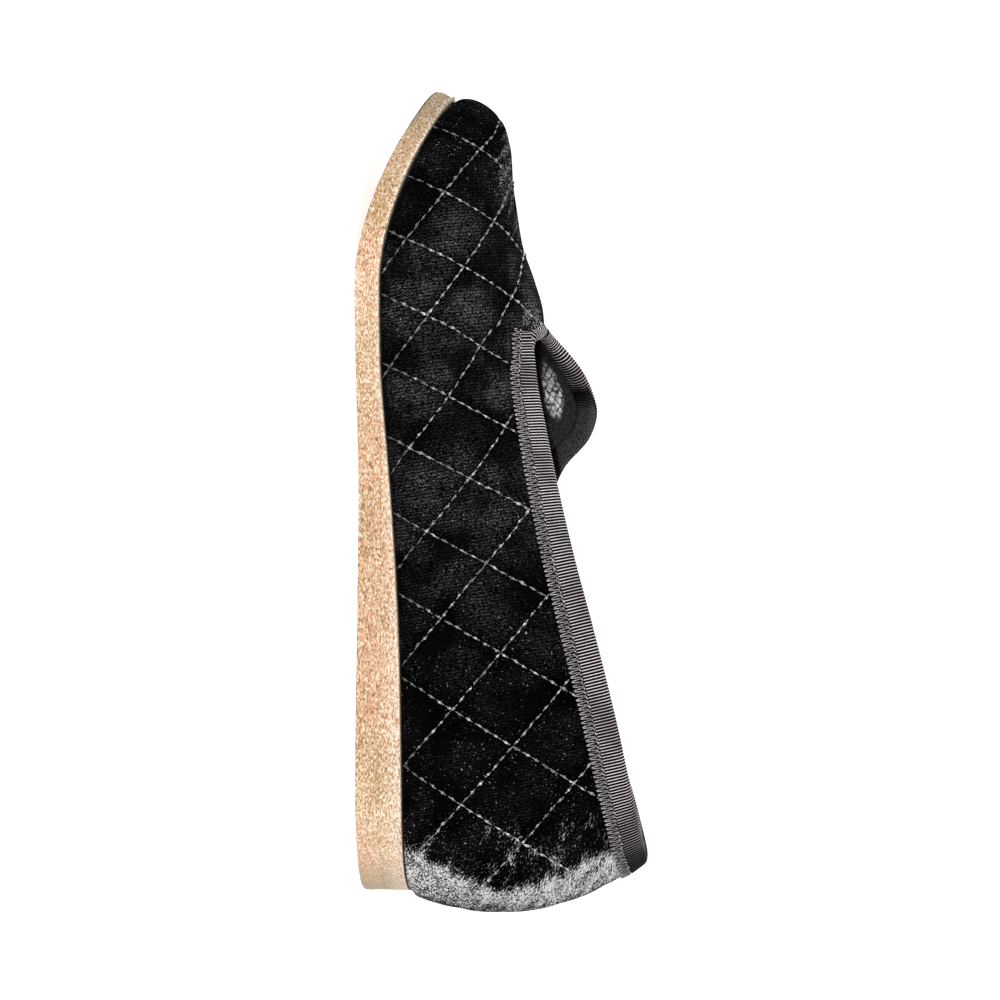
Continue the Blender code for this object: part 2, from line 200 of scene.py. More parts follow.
@dataclass(frozen=True)
class Last:
    """The form that the shoe is drawn over: sole outline, seat, collar and vamp."""

    heel_end_x: float = -116.0
    toe_tip_x: float = 121.2
    outsole_thick: float = 6.8
    toe_edge_thick: float = 6.2
    toe_spring: float = 19.0
    spring_start_x: float = 64.0
    spring_power: float = 1.6
    waist_arch: float = 0.4
    waist_from_x: float = -32.0
    waist_to_x: float = 46.0
    wedge_lift: float = 6.4
    wedge_full_x: float = -95.0
    wedge_end_x: float = 40.0
    wedge_ease: float = 0.05
    seat_gap: float = 0.3
    wall: float = 1.8
    lower_fullness: float = 0.38
    upper_fullness: float = 0.36
    heel_centre_x: float = -86.0
    middle_x: float = -0.35
    middle_y: float = 0.55
    slope_step: float = 0.01

    def to_frame(self, points: Array) -> Array:
        """Points of the tables, in millimetres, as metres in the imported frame."""
        return (points - np.array([self.middle_x, self.middle_y, 0])) * MM

    def outline(self, stations: Array, side: Side, inset: Array | float) -> Array:
        """Plan points of the sole's outline, moved in from its edge.

        Args:
            stations: places round half of the sole, 0 at the heel and 1 at the toe.
            side: which half.
            inset: how far in from the edge.

        Returns:
            An array of x and y.
        """
        half = (self.toe_tip_x - self.heel_end_x) / 2
        x = self.heel_end_x + half - np.cos(pi * stations) * (half - inset)
        curl = np.sqrt(np.clip(np.sin(pi * stations), 0, 1))
        reach = np.maximum(curve(PLAN, "half_width", stations) - inset * curl, 0)
        return np.stack([x, curve(PLAN, "centre", stations) + side.value * reach], axis=-1)

    def spring(self, x: Array) -> Array:
        """Share of the way along the toe spring."""
        return np.maximum(0, (x - self.spring_start_x) / (self.toe_tip_x - self.spring_start_x))

    def spring_angle(self, x: Array) -> Array:
        """Angle at which the sole rises towards the toe."""
        steepest = self.toe_spring * self.spring_power / (self.toe_tip_x - self.spring_start_x)
        return np.arctan(steepest * self.spring(x) ** (self.spring_power - 1))

    def sprung(self, x: Array) -> Array:
        """Height of the toe spring."""
        return self.toe_spring * self.spring(x) ** self.spring_power

    def ground(self, x: Array) -> Array:
        """Height of the sole's underside."""
        waist = np.clip((x - self.waist_from_x) / (self.waist_to_x - self.waist_from_x), 0, 1)
        return self.sprung(x) + self.waist_arch * np.sin(pi * waist) ** 2

    def outsole_top(self, x: Array) -> Array:
        """Height of the outsole's upper face."""
        thick = self.outsole_thick - (self.outsole_thick - self.toe_edge_thick) * self.spring(x)
        return self.sprung(x) + thick

    def wedge_rise(self, x: Array) -> Array:
        """How far the heel wedge raises the upper above the outsole.

        Args:
            x: lengths along the shoe.

        Returns:
            The wedge's height at each.
        """
        share = np.clip((self.wedge_end_x - x) / (self.wedge_end_x - self.wedge_full_x), 0, 1)
        eased = share**2 / (share + self.wedge_ease) * (1 + self.wedge_ease)
        return self.wedge_lift * np.sin(pi / 2 * eased)

    def seat(self, x: Array) -> Array:
        """Height that the upper and the insole stand on."""
        return self.outsole_top(x) + self.wedge_rise(x) + self.seat_gap

    def station_at(self, x: float) -> float:
        """Station of the sole's outline at a length along the shoe."""
        return acos(1 - 2 * (x - self.heel_end_x) / (self.toe_tip_x - self.heel_end_x)) / pi

    def heads(self, side: Side, stations: Array, feet: Array) -> tuple[Array, ...]:
        """Upper ends of the wall's ribs.

        Args:
            side: which side of the shoe.
            stations: the ribs' places.
            feet: the ribs' lower ends.

        Returns:
            The heads, the wall's direction at them and the level way in from the feet.
        """
        on_collar = stations <= THROAT
        edge_at, ridge_at = np.minimum(stations, THROAT), np.maximum(stations, THROAT)
        centre = curve(PLAN, "centre", stations)
        collar = np.stack([curve(COLLARS[side], axis, edge_at) for axis in "xyz"], axis=-1)
        ridge_x, ridge_z = (curve(RIDGE, axis, ridge_at) for axis in "xz")
        ridge = np.stack([ridge_x, centre, ridge_z], axis=-1)
        heads = np.where(on_collar[:, None], collar, ridge)

        spine = np.stack([np.maximum(feet[:, 0], self.heel_centre_x), centre], axis=-1)
        target = np.where(on_collar[:, None], spine, heads[:, :2])
        turn = target - feet[:, :2]
        turn /= np.maximum(np.linalg.norm(turn, axis=1, keepdims=True), TINY)

        near = np.maximum(ridge_at - self.slope_step, THROAT)
        run = np.maximum(ridge_x - curve(RIDGE, "x", near), TINY)
        slope = (ridge_z - curve(RIDGE, "z", near)) / run
        climb = np.where(on_collar, 0, turn[:, 0] * slope)
        over = np.column_stack([turn, climb])
        over /= np.linalg.norm(over, axis=1, keepdims=True)
        lean_deg = np.where(
            on_collar, curve(COLLARS[side], "lean_deg", edge_at), curve(RIDGE, "lean_deg", ridge_at)
        )
        lean = np.radians(lean_deg)[:, None]
        return heads, np.array([0, 0, 1]) * np.cos(lean) + over * np.sin(lean), turn

    def skin(self, side: Side, stations: Array, shares: Array) -> Array:
        """Points of the upper's outer face.

        Args:
            side: which side of the shoe.
            stations: the ribs' places, from heel to toe.
            shares: places up each rib, 0 at the sole and 1 at the collar or ridge.

        Returns:
            An array of stations by shares by x, y and z, in millimetres.
        """
        plan = self.outline(stations, side, curve(PLAN, "feather_in", stations))
        feet = np.column_stack([plan, self.seat(plan[:, 0])])
        heads, head_way, turn = self.heads(side, stations, feet)
        flare = np.radians(curve(PLAN, "flare_deg", stations))[:, None]
        level = np.column_stack([turn, np.zeros(len(stations))])
        foot_way = np.array([0, 0, 1]) * np.cos(flare) - level * np.sin(flare)
        chord = np.linalg.norm(heads - feet, axis=1, keepdims=True)
        low = feet + foot_way * chord * self.lower_fullness
        high = heads - head_way * chord * self.upper_fullness
        t = shares[None, :, None]
        rest = 1 - t
        return (
            feet[:, None] * rest**3
            + low[:, None] * 3 * rest**2 * t
            + high[:, None] * 3 * rest * t**2
            + heads[:, None] * t**3
        )


LAST = Last()


def operator(operation: str, swapped: bool = False) -> Callable[["Term", object], "Term"]:
    """Makes an arithmetic method of Term.

    Args:
        operation: the Math node's operation.
        swapped: whether the other value comes first.

    Returns:
        The method.
    """

    def method(self: "Term", other: object = 0.0) -> "Term":
        """Adds a Math node over this term and another or a number."""
        sockets = {0: other, 1: self} if swapped else {0: self, 1: other}
        return self.graph.term("ShaderNodeMath", {"operation": operation}, sockets)

    return method


class Term:
    """A shader socket that takes part in Python arithmetic."""

    __add__, __radd__ = operator("ADD"), operator("ADD", True)
    __sub__, __rsub__ = operator("SUBTRACT"), operator("SUBTRACT", True)
    __mul__, __truediv__ = operator("MULTIPLY"), operator("DIVIDE")
    most, sine = operator("MAXIMUM"), operator("SINE")

    def __init__(self, graph: "Graph", socket: NodeSocket) -> None:
        """Keeps the socket and the graph that it belongs to."""
        self.graph = graph
        self.socket = socket

    def above(self, low: float) -> "Term":
        """This value of 0 to 1, squeezed into low to 1."""
        return self * (1 - low) + low

    def about(self, other: "Term", share: float) -> "Term":
        """Blend of this term and another, with this one's share."""
        return self * share + other * (1 - share)

    def step(self, start: float, end: float) -> "Term":
        """Smooth step of this value.

        Args:
            start: the value that gives 0.
            end: the value that gives 1.

        Returns:
            The step's height.
        """
        names = ("Value", "From Min", "From Max", "To Min", "To Max")
        ends = (0.0, 1.0) if start < end else (1.0, 0.0)
        sockets = dict(zip(names, (self, min(start, end), max(start, end), *ends)))
        return self.graph.term("ShaderNodeMapRange", {"interpolation_type": "SMOOTHSTEP"}, sockets)


class Graph:
    """A material's nodes, with the few ways of adding to them that the finishes use."""

    def __init__(self, name: str) -> None:
        """Starts a material with a Principled shader.

        Args:
            name: the material's name.
        """
        self.material = bpy.data.materials.new(name)
        self.material.use_nodes = True
        self.tree = self.material.node_tree
        self.shader = self.tree.nodes["Principled BSDF"]
        self.coords = self.node("ShaderNodeTexCoord").outputs["Object"]

    def node(
        self,
        kind: str,
        settings: dict[str, object] | None = None,
        sockets: dict[str | int, object] | None = None,
    ) -> Node:
        """Adds a node.

        Args:
            kind: the node's type.
            settings: its own properties, set first.
            sockets: values or links of its inputs.

        Returns:
            The node.
        """
        made = self.tree.nodes.new(kind)
        for name, value in (settings or {}).items():
            setattr(made, name, value)
        for name, value in (sockets or {}).items():
            self.feed(made.inputs[name], value)
        return made

    def term(
        self,
        kind: str,
        settings: dict[str, object],
        sockets: dict[str | int, object],
        output: str | int = 0,
    ) -> Term:
        """Adds a node and takes one of its outputs into the arithmetic."""
        return Term(self, self.node(kind, settings, sockets).outputs[output])

    def feed(self, socket: NodeSocket, value: object) -> None:
        """Links or sets one input.

        Args:
            socket: the input.
            value: a Term, a socket, a colour or a number.
        """
        if isinstance(value, Term):
            self.tree.links.new(value.socket, socket)
        elif isinstance(value, NodeSocket):
            self.tree.links.new(value, socket)
        elif isinstance(value, tuple) and len(value) == 3 and socket.type == "RGBA":
            socket.default_value = (*value, 1)
        else:
            socket.default_value = value

    def noise(self, vector: NodeSocket, scale: float, detail: float) -> Term:
        """Noise about 0.5 over a vector."""
        sockets = {"Vector": vector, "Scale": scale, "Detail": detail}
        return self.term("ShaderNodeTexNoise", {}, sockets, "Fac")

    def grain(
        self,
        size_mm: float,
        detail: float = 2.0,
        stretch: Triple = (1, 1, 1),
        turn: Triple = (0, 0, 0),
    ) -> Term:
        """Noise of a given grain.

        Args:
            size_mm: size of its blobs.
            detail: finer octaves.
            stretch: factors of the coordinates along X, Y and Z.
            turn: angles of the coordinates about X, Y and Z.

        Returns:
            Noise about 0.5.
        """
        sockets = {"Vector": self.coords, "Scale": stretch, "Rotation": turn}
        placed = self.node("ShaderNodeMapping", {}, sockets).outputs[0]
        return self.noise(placed, 1 / (size_mm * MM), detail)

    def strokes(self, width_mm: float, widths_long: float, detail: float = 2.0) -> Term:
        """Noise drawn out into slanting strokes that follow the wall.

        Args:
            width_mm: width of a stroke.
            widths_long: how many widths long it is.
            detail: finer octaves.

        Returns:
            Noise about 0.5.
        """
        around, rise = self.attribute("around"), self.attribute("rise")
        slanted, upright = sin(STROKE_SLANT), cos(STROKE_SLANT)
        along = (around * upright + rise * slanted) / (width_mm * widths_long)
        across = (rise * upright - around * slanted) / width_mm
        vector = self.node("ShaderNodeCombineXYZ", {}, {0: along, 1: across}).outputs[0]
        return self.noise(vector, 1.0, detail)

    def axis(self, name: str) -> Term:
        """One object coordinate, in millimetres."""
        return self.term("ShaderNodeSeparateXYZ", {}, {0: self.coords}, name) / MM

    def attribute(self, name: str) -> Term:
        """A value that the mesh carries."""
        return self.term("ShaderNodeAttribute", {"attribute_name": name}, {}, "Fac")

    def near(self, point_mm: Triple, reach_mm: float) -> Term:
        """Soft round spot.

        Args:
            point_mm: its middle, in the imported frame.
            reach_mm: where it ends.

        Returns:
            1 at the middle, 0 at the reach.
        """
        sockets = {0: self.coords, 1: tuple(value * MM for value in point_mm)}
        away = self.term("ShaderNodeVectorMath", {"operation": "DISTANCE"}, sockets, "Value")
        return (away / MM).step(reach_mm, 0.0)

    def mix(self, factor: object, first: object, second: object, blend: str = "MIX") -> NodeSocket:
        """Mixes two colours: a factor of 0 gives the first, 1 the blend with the second."""
        settings = {"data_type": "RGBA", "blend_type": blend}
        return self.node("ShaderNodeMix", settings, {0: factor, 6: first, 7: second}).outputs[2]

    def bump(self, height: Term, depth_mm: float, strength: float = 1.0) -> NodeSocket:
        """Normal of a surface with a relief of 0 to 1, of a full depth and a strength."""
        sockets = {"Height": height, "Distance": depth_mm * MM, "Strength": strength}
        return self.node("ShaderNodeBump", {}, sockets).outputs[0]

    def finish(self, sockets: dict[str, object]) -> Material:
        """Feeds the shader.

        Args:
            sockets: values or links of its inputs.

        Returns:
            The material.
        """
        for name, value in sockets.items():
            self.feed(self.shader.inputs[name], value)
        return self.material


@dataclass(frozen=True)
class PaleTips:
    """Pale tips of the pile, for painted sheen and for dust, where the mesh asks for an amount of
    them, with a ragged edge.
    """

    fray: float
    full: Span
    edge: Span
    boost: float
    tips: Span
    fade: float

    def over(self, pattern: Term, ragged: Term, amount: Term, left: Term | float = 1.0) -> Term:
        """How much of the tips' colour shows.

        Args:
            pattern: noise that the tips are picked from.
            ragged: noise that breaks up the edge.
            amount: what the mesh asks for.
            left: the share of it that is left.

        Returns:
            The mixing factor.
        """
        frayed = (amount + (ragged - 0.5) * self.fray).step(*self.full)
        spread = frayed * amount.step(*self.edge) * left
        return (pattern + spread * self.boost).step(*self.tips) * spread.step(0.0, self.fade)


@dataclass(frozen=True)
class VelvetFinish:
    """Black pile with rows of weave and lint, the weave lit brighter on the puffs in painted light,
    and dust, painted sheen over the toe's crown and painted sheen on the nap round the heel, where
    the mesh says so.
    """

    name: str = "black_velvet"
    pile: Colour = (0.0006, 0.0006, 0.0009)
    lit_pile: Colour = (0.135, 0.129, 0.131)
    speck: Colour = (0.24, 0.235, 0.235)
    dust_and_sheen: Colour = (0.30, 0.295, 0.29)
    nap: Colour = (0.68, 0.68, 0.67)
    dash_mm: float = 0.34
    dash_stretch: Triple = (1, 0.5, 0.5)
    dash_step: Span = (0.40, 0.70)
    patch_mm: float = 15.0
    patch_step: Span = (0.38, 0.62)
    least: float = 0.15
    row_mm: float = 0.95
    row_tilt: float = -0.18
    row_bend_mm: float = 7.0
    row_bend: float = 5.0
    row_least: float = 0.20
    weave_band_from_x: Span = (-65.0, 30.0)
    weave_band_to_x: Span = (104.0, 62.0)
    lint_mm: float = 0.50
    lint_step: Span = (0.74, 0.86)
    hair: Triple = (0.44, 2.3, 3.0)
    lock: Span = (2.4, 2.4)
    rag: Triple = (5.0, 2.0, 3.0)
    hair_share: float = 0.74
    sheened: PaleTips = PaleTips(1.3, (0.02, 1.10), (0.01, 0.20), 0.225, (0.61, 0.83), 0.2)
    dust_and_sheen_tips: PaleTips = PaleTips(1.2, (0.05, 1.0), (0.02, 0.25), 0.26, (0.60, 0.84), 0.3)
    fluff_at: tuple[Triple, ...] = ((-36.6, 30.5, 49.3), (-85.6, 30.1, 41.2))
    fluff_reach: float = 1.1
    fluff_boost: float = 0.45
    fluff_step: Span = (0.82, 1.1)
    dash_relief: float = 0.6

    def make(self) -> Material:
        """Builds the material."""
        graph = Graph(self.name)
        along = graph.axis("X")
        dashes = graph.grain(self.dash_mm, 1.0, self.dash_stretch)
        patches = graph.grain(self.patch_mm).step(*self.patch_step).above(self.least)
        # the weave shows brighter in a band along the middle of the shoe and darker towards the
        # heel and the toe
        worn = (along.step(*self.weave_band_from_x) * along.step(*self.weave_band_to_x)).above(self.least)
        tilted = along + graph.axis("Z") * self.row_tilt
        bend = graph.grain(self.row_bend_mm, 1.0) * self.row_bend
        rows = (tilted * (2 * pi / self.row_mm) + bend).sine() * 0.5 + 0.5
        # painted light: the puff's dome lights the weave on the puffs' middles and shades it along
        # the quilting lines
        full = graph.attribute("puff").above(self.least)
        weave = dashes.step(*self.dash_step) * rows.above(self.row_least) * full * patches * worn
        lint = graph.grain(self.lint_mm, 0.0).step(*self.lint_step) * patches
        hairs, locks, ragged = (graph.strokes(*drawn) for drawn in (self.hair, self.lock, self.rag))
        tufts, back = hairs.about(locks, self.hair_share), graph.attribute("round_back")
        # painted sheen: pale pile round the heel where the nap catches the light, thinning towards
        # the back
        nap = self.sheened.over(tufts, ragged, graph.attribute("nap"), back)
        # dust ahead of the throat and painted sheen over the toe's crown
        dust_and_sheen_mix = self.dust_and_sheen_tips.over(dashes, ragged, graph.attribute("dust_and_sheen"))
        colour = graph.mix(weave, self.pile, self.lit_pile)
        colour = graph.mix(lint, colour, self.speck)
        for fluff in self.fluff_at:
            near = graph.near(fluff, self.fluff_reach) * self.fluff_boost
            colour = graph.mix((near + hairs).step(*self.fluff_step), colour, self.nap)
        colour = graph.mix(dust_and_sheen_mix, colour, self.dust_and_sheen)
        colour = graph.mix(nap, colour, self.nap)
        return graph.finish(
            {
                "Base Color": colour,
                "Roughness": 0.95,
                "Specular IOR Level": 0.0,
                "Sheen Weight": 0.006,
                "Sheen Roughness": 0.4,
                "Normal": graph.bump(dashes.about(hairs, self.dash_relief), 0.25, 0.7),
            }
        )


@dataclass(frozen=True)
class ThreadFinish:
    """Twisted thread, with painted glints on its twists over painted shade."""

    name: str
    colour: Colour
    shade: Colour
    twist_mm: float = 0.45
    lit_step: Span = (0.34, 0.62)

    def make(self) -> Material:
        """Builds the material."""
        graph = Graph(self.name)
        twist = graph.grain(self.twist_mm)
        lit = twist.step(*self.lit_step) * graph.attribute("glint")
        return graph.finish(
            {
                "Base Color": graph.mix(lit, self.shade, self.colour),
                "Roughness": 0.6,
                "Sheen Weight": 0.2,
                "Normal": graph.bump(twist, 0.1),
            }
        )


@dataclass(frozen=True)
class RibbonFinish:
    """Ribbed ribbon: painted highlights on the rib crests over a dark ground of painted shade, and
    plain grey cloth in painted shade where the ribs leave off.
    """

    name: str = "grey_grosgrain"
    ground: Colour = (0.004, 0.0035, 0.004)
    rib: Colour = (0.95, 0.85, 0.87)
    dusky: Colour = (0.30, 0.265, 0.275)
    shade_plain: Colour = (0.075, 0.075, 0.078)
    fibre_mm: float = 0.5
    wear_mm: float = 11.0
    wear_step: Span = (0.38, 0.70)
    wear_cover: float = 0.7
    crest_step: Span = (0.62, 1.0)
    crest_least: float = 0.45
    shade_plain_step: Span = (0.0, -0.5)
    shade_plain_fibre: Span = (0.25, 0.75)
    shade_plain_cover: Span = (0.1, 1.1)

    def make(self) -> Material:
        """Builds the material."""
        graph = Graph(self.name)
        fibre = graph.grain(self.fibre_mm, 3.0)
        worn = graph.grain(self.wear_mm).step(*self.wear_step) * self.wear_cover
        rib = graph.attribute("rib")
        # painted highlight on the rib crests; the dark ground between them is painted shade
        crest = rib.step(*self.crest_step) * (self.crest_least + fibre)
        least, gain = self.shade_plain_cover
        # painted shade: where the far inside leg faces away from the light its ribs give way to
        # flat grey, black in the collar's painted shadow
        bare = rib.step(*self.shade_plain_step) * (1 - graph.attribute("shadow_depth"))
        bare = bare * (least + fibre.step(*self.shade_plain_fibre) * gain)
        cloth = graph.mix(bare, self.ground, self.shade_plain)
        return graph.finish(
            {
                "Base Color": graph.mix(crest, cloth, graph.mix(worn, self.rib, self.dusky)),
                "Roughness": 0.7 + (fibre - 0.5) * 0.3,
                "Specular IOR Level": 0.04,
                "Normal": graph.bump(fibre, 0.08),
            }
        )


@dataclass(frozen=True)
class SuedeFinish:
    """Sueded tan leather: gold and pale fibres, warm zones, scuffs, pale rims and ends greyer and
    darker towards the toe.
    """

    name: str
    gold: Colour = (0.43, 0.24, 0.105)
    pale: Colour = (0.90, 0.74, 0.555)
    warm: Colour = (0.56, 0.30, 0.17)
    brown: Colour = (0.24, 0.125, 0.055)
    grey: Colour = (0.36, 0.295, 0.21)
    rim: Colour = (0.80, 0.71, 0.60)
    scuff: Colour = (0.90, 0.81, 0.69)
    toe_greying: Colour = (0.70, 0.74, 0.75)
    toe_greying_x: Span = (74.0, 101.0)
    tip_greying_x: Span = (102.0, 117.0)
    heel_grey_x: Span = (-101.0, -115.0)
    heel_grey: Span = (0.28, 0.95)
    ball_pale_x: Triple = (18.0, 44.0, 78.0)
    heel_pale_x: Span = (-70.0, -92.0)
    fuzz_mm: float = 0.44
    fleck_mm: float = 0.55
    zone_mm: float = 30.0
    drift_mm: float = 9.0
    stretch: Triple = (0.5, 1, 1)
    fleck_stretch: Triple = (0.45, 1, 1)
    zone_step: Span = (0.40, 0.60)
    lift: Triple = (0.18, 0.04, 0.03)
    pale_step: Span = (0.45, 0.78)
    fleck_step: Span = (0.52, 0.70)
    fleck_cover: Span = (0.90, 0.50)
    rim_step: Span = (0.38, 0.56)
    rim_cover: float = 0.8
    scuffs_at: tuple[tuple[Triple, float], ...] = (
        ((-28.4, 34.0, 2.4), 5.0), ((-30.6, 34.0, 4.0), 3.5),
    )
    scuff_step: Span = (0.3, 0.6)
    fuzz_relief: float = 0.6

    def make(self) -> Material:
        """Builds the material."""
        graph = Graph(self.name)
        fuzz = graph.grain(self.fuzz_mm, 3.0, self.stretch)
        flecks = graph.grain(self.fleck_mm, 1.0, self.fleck_stretch)
        zones = graph.grain(self.zone_mm, 3.0)
        drift = graph.grain(self.drift_mm, 3.0, self.stretch)
        along = graph.axis("X")
        start, middle, stop = self.ball_pale_x
        paler = along.step(start, middle) * along.step(stop, middle)
        paler = paler.most(along.step(*self.heel_pale_x))
        by_drift, by_place, less = self.lift
        most, bared = self.fleck_cover
        least, gain = self.heel_grey
        colour = graph.mix(zones.step(*self.zone_step), self.gold, self.warm)
        lifted = fuzz + (drift * by_drift + paler * by_place - less)
        colour = graph.mix(lifted.step(*self.pale_step), colour, self.pale)
        flecked = flecks.step(*self.fleck_step) * (most - paler * bared)
        colour = graph.mix(flecked, colour, self.brown)
        greyed = along.step(*self.heel_grey_x) * (least + drift * gain)
        colour = graph.mix(greyed, colour, self.grey)
        # greyer and darker towards the toe
        for reach in (self.toe_greying_x, self.tip_greying_x):
            colour = graph.mix(along.step(*reach), colour, self.toe_greying, "MULTIPLY")
        rimmed = graph.attribute("rim") * fuzz.step(*self.rim_step) * self.rim_cover
        colour = graph.mix(rimmed, colour, self.rim)
        low, high = (graph.near(*scuff) for scuff in self.scuffs_at)
        colour = graph.mix(low.most(high) * fuzz.step(*self.scuff_step), colour, self.scuff)
        return graph.finish(
            {
                "Base Color": colour,
                "Roughness": 0.9 + (fuzz - 0.5) * 0.15,
                "Specular IOR Level": 0.12,
                "Sheen Weight": 0.06,
                "Sheen Roughness": 0.5,
                "Normal": graph.bump(fuzz.about(flecks, self.fuzz_relief), 0.45, 0.9),
            }
        )


@dataclass(frozen=True)
class LiningFinish:
    """Charcoal lining, black lower down in a painted shadow, with a pale cross-hatched patch under
    the outer tab, a painted pool of light that glows.
    """

    name: str = "charcoal_lining"
    black: Colour = (0.001, 0.001, 0.001)
    dark: Colour = (0.034, 0.034, 0.038)
    lit: Colour = (0.110, 0.110, 0.118)
    glow: float = 0.42
    pale: Colour = (0.93, 0.96, 0.98)
    weave_mm: float = 0.6
    weave_step: Span = (0.40, 0.70)
    weave_least: float = 0.2
    drift_mm: float = 6.0
    smear_mm: float = 1.4
    smear_stretch: Triple = (1, 1, 0.5)
    smear_turn: Triple = (0, 0.8, 0)
    smear_step: Span = (0.30, 0.62)
    patch_at: Span = (34.5, 52.3)
    patch_half: Span = (9.0, 3.0)
    patch_lean: float = -0.20
    patch_y: Span = (-6.0, -8.0)
    patch_fray: Span = (2.2, 1.2)
    patch_edge: Span = (1.25, 0.55)
    patch_bright_x: Span = (9.0, -6.0)
    patch_bright: Span = (0.5, 0.6)
    patch_weave: Span = (0.45, 0.9)
    hatch_mm: float = 2.2
    hatch_bend: Span = (9.0, 2.5)
    hatch_skew: float = 0.45
    hatch_step: Span = (1.0, 0.84)

    def light_patch(self, graph: Graph, weave: Term, drift: Term) -> Term:
        """How much of the painted pool of light shows.

        Args:
            graph: the material's nodes.
            weave: fine noise of the cloth.
            drift: broad noise.

        Returns:
            The mixing factor.
        """
        smear = graph.grain(self.smear_mm, 2.0, self.smear_stretch, self.smear_turn)
        along, up = (graph.axis(name) - at for name, at in zip("XZ", self.patch_at))
        length = (along + up * self.patch_lean) / self.patch_half[0]
        width = (up - along * self.patch_lean) / self.patch_half[1]
        fray, bent = (
            (drift - 0.5) * by_drift + (smear - 0.5) * by_smear
            for by_drift, by_smear in (self.patch_fray, self.hatch_bend)
        )
        turn = 2 * pi / self.hatch_mm
        rising = ((along + up) * turn + bent).sine()
        falling = ((along * self.hatch_skew - up) * turn + bent).sine()
        hatch = rising.most(falling) * 0.5 + 0.5
        inside = (length * length + width * width + fray).step(*self.patch_edge)
        shown = inside * hatch.step(*self.hatch_step) * graph.axis("Y").step(*self.patch_y)
        least, gain = self.patch_bright
        bright = least + along.step(*self.patch_bright_x) * gain
        shown = shown * smear.step(*self.smear_step) * bright
        least, gain = self.patch_weave
        return shown * (least + weave * gain)

    def make(self) -> Material:
        """Builds the material."""
        graph = Graph(self.name)
        weave, drift = graph.grain(self.weave_mm), graph.grain(self.drift_mm, 3.0)
        light_patch = self.light_patch(graph, weave, drift)
        cloth = weave.step(*self.weave_step) * (self.weave_least + drift)
        colour = graph.mix(cloth, self.dark, self.lit)
        # painted shadow of the near collar: black low on the far wall
        colour = graph.mix(graph.attribute("shadow_depth"), colour, self.black)
        return graph.finish(
            {
                # painted pool of light: the patch is pale and glows though no lamp is there
                "Base Color": graph.mix(light_patch, colour, self.pale),
                "Emission Color": graph.mix(light_patch, self.black, self.pale),
                "Emission Strength": self.glow,
                "Roughness": 0.85,
                "Specular IOR Level": 0.05,
                "Normal": graph.bump(weave, 0.1),
            }
        )


@dataclass(frozen=True)
class InsoleFinish:
    """Dark cloth over the insole."""

    name: str = "dark_insole_cloth"
    dark: Colour = (0.016, 0.0165, 0.019)
    worn: Colour = (0.050, 0.050, 0.054)
    weave_mm: float = 0.6
    weave_step: Span = (0.4, 0.7)
    tread_mm: float = 20.0
    tread_least: float = 0.3

    def make(self) -> Material:
        """Builds the material."""
        graph = Graph(self.name)
        weave = graph.grain(self.weave_mm, 1.0)
        tread = graph.grain(self.tread_mm).above(self.tread_least)
        return graph.finish(
            {
                "Base Color": graph.mix(weave.step(*self.weave_step) * tread, self.dark, self.worn),
                "Roughness": 0.85,
                "Sheen Weight": 0.15,
                "Normal": graph.bump(weave, 0.15),
            }
        )


@dataclass(frozen=True)
class FloorFinish:
    """Plain pale floor."""

    name: str = "pale_floor"
    colour: Colour = (0.50, 0.50, 0.50)
    clouded: Colour = (0.515, 0.515, 0.515)
    cloud_mm: float = 120.0
    glow: float = 0.72

    def make(self) -> Material:
        """Builds the material."""
        graph = Graph(self.name)
        return graph.finish(
            {
                "Base Color": graph.mix(graph.grain(self.cloud_mm), self.colour, self.clouded),
                "Roughness": 0.9,
                "Specular IOR Level": 0.1,
                "Emission Color": (1.0, 1.0, 1.0),
                "Emission Strength": self.glow,
            }
        )


def sheet_mesh(columns: int, rows: int, place: Callable[[int, int], Vector]) -> BMesh:
    """A grid whose vertices are moved into place, before any welding.

    Args:
        columns: steps along it.
        rows: steps across it.
        place: gives the point, in metres, of a column and row.

    Returns:
        The mesh.
    """
    mesh = bmesh.new()
    bmesh.ops.create_grid(mesh, x_segments=columns, y_segments=rows, size=1)
    for vertex in mesh.verts:
        across = round((vertex.co.x + 1) / 2 * columns)
        along = round((vertex.co.y + 1) / 2 * rows)
        vertex.co = place(across, along)
    return mesh


def face_away(mesh: BMesh, centre: Vector) -> None:
    """Turns an open surface's faces away from a point inside it.

    Args:
        mesh: the surface.
        centre: the point.
    """
    bmesh.ops.recalc_face_normals(mesh, faces=mesh.faces)
    ways = ((face.calc_center_median() - centre, face) for face in mesh.faces)
    if sum(way.dot(face.normal) * face.calc_area() for way, face in ways) < 0:
        bmesh.ops.reverse_faces(mesh, faces=mesh.faces)


def push_out(mesh: BMesh, amount: Callable[[BMVert], float]) -> None:
    """Moves vertices along their normals by an amount in millimetres."""
    for vertex in mesh.verts:
        vertex.co += vertex.normal * amount(vertex) * MM


def close_tube(mesh: BMesh) -> None:
    """Welds a tube's seam, caps its ends and turns its faces out.

    Args:
        mesh: the tube.
    """
    bmesh.ops.remove_doubles(mesh, verts=mesh.verts, dist=WELD)
    bmesh.ops.holes_fill(mesh, edges=mesh.edges, sides=0)
    bmesh.ops.recalc_face_normals(mesh, faces=mesh.faces)


def add_piece(name: str, mesh: BMesh, material: Material, slot: str) -> Object:
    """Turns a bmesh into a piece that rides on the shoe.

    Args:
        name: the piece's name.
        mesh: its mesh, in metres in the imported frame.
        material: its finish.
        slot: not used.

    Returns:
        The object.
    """
    data = bpy.data.meshes.new(name)
    mesh.to_mesh(data)
    data.shade_smooth()
    data.materials.append(material)
    piece = bpy.data.objects.new(name, data)
    bpy.context.scene.collection.objects.link(piece)
    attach(piece, "root")
    LOG.info("%s: %d faces", name, len(mesh.faces))
    return piece


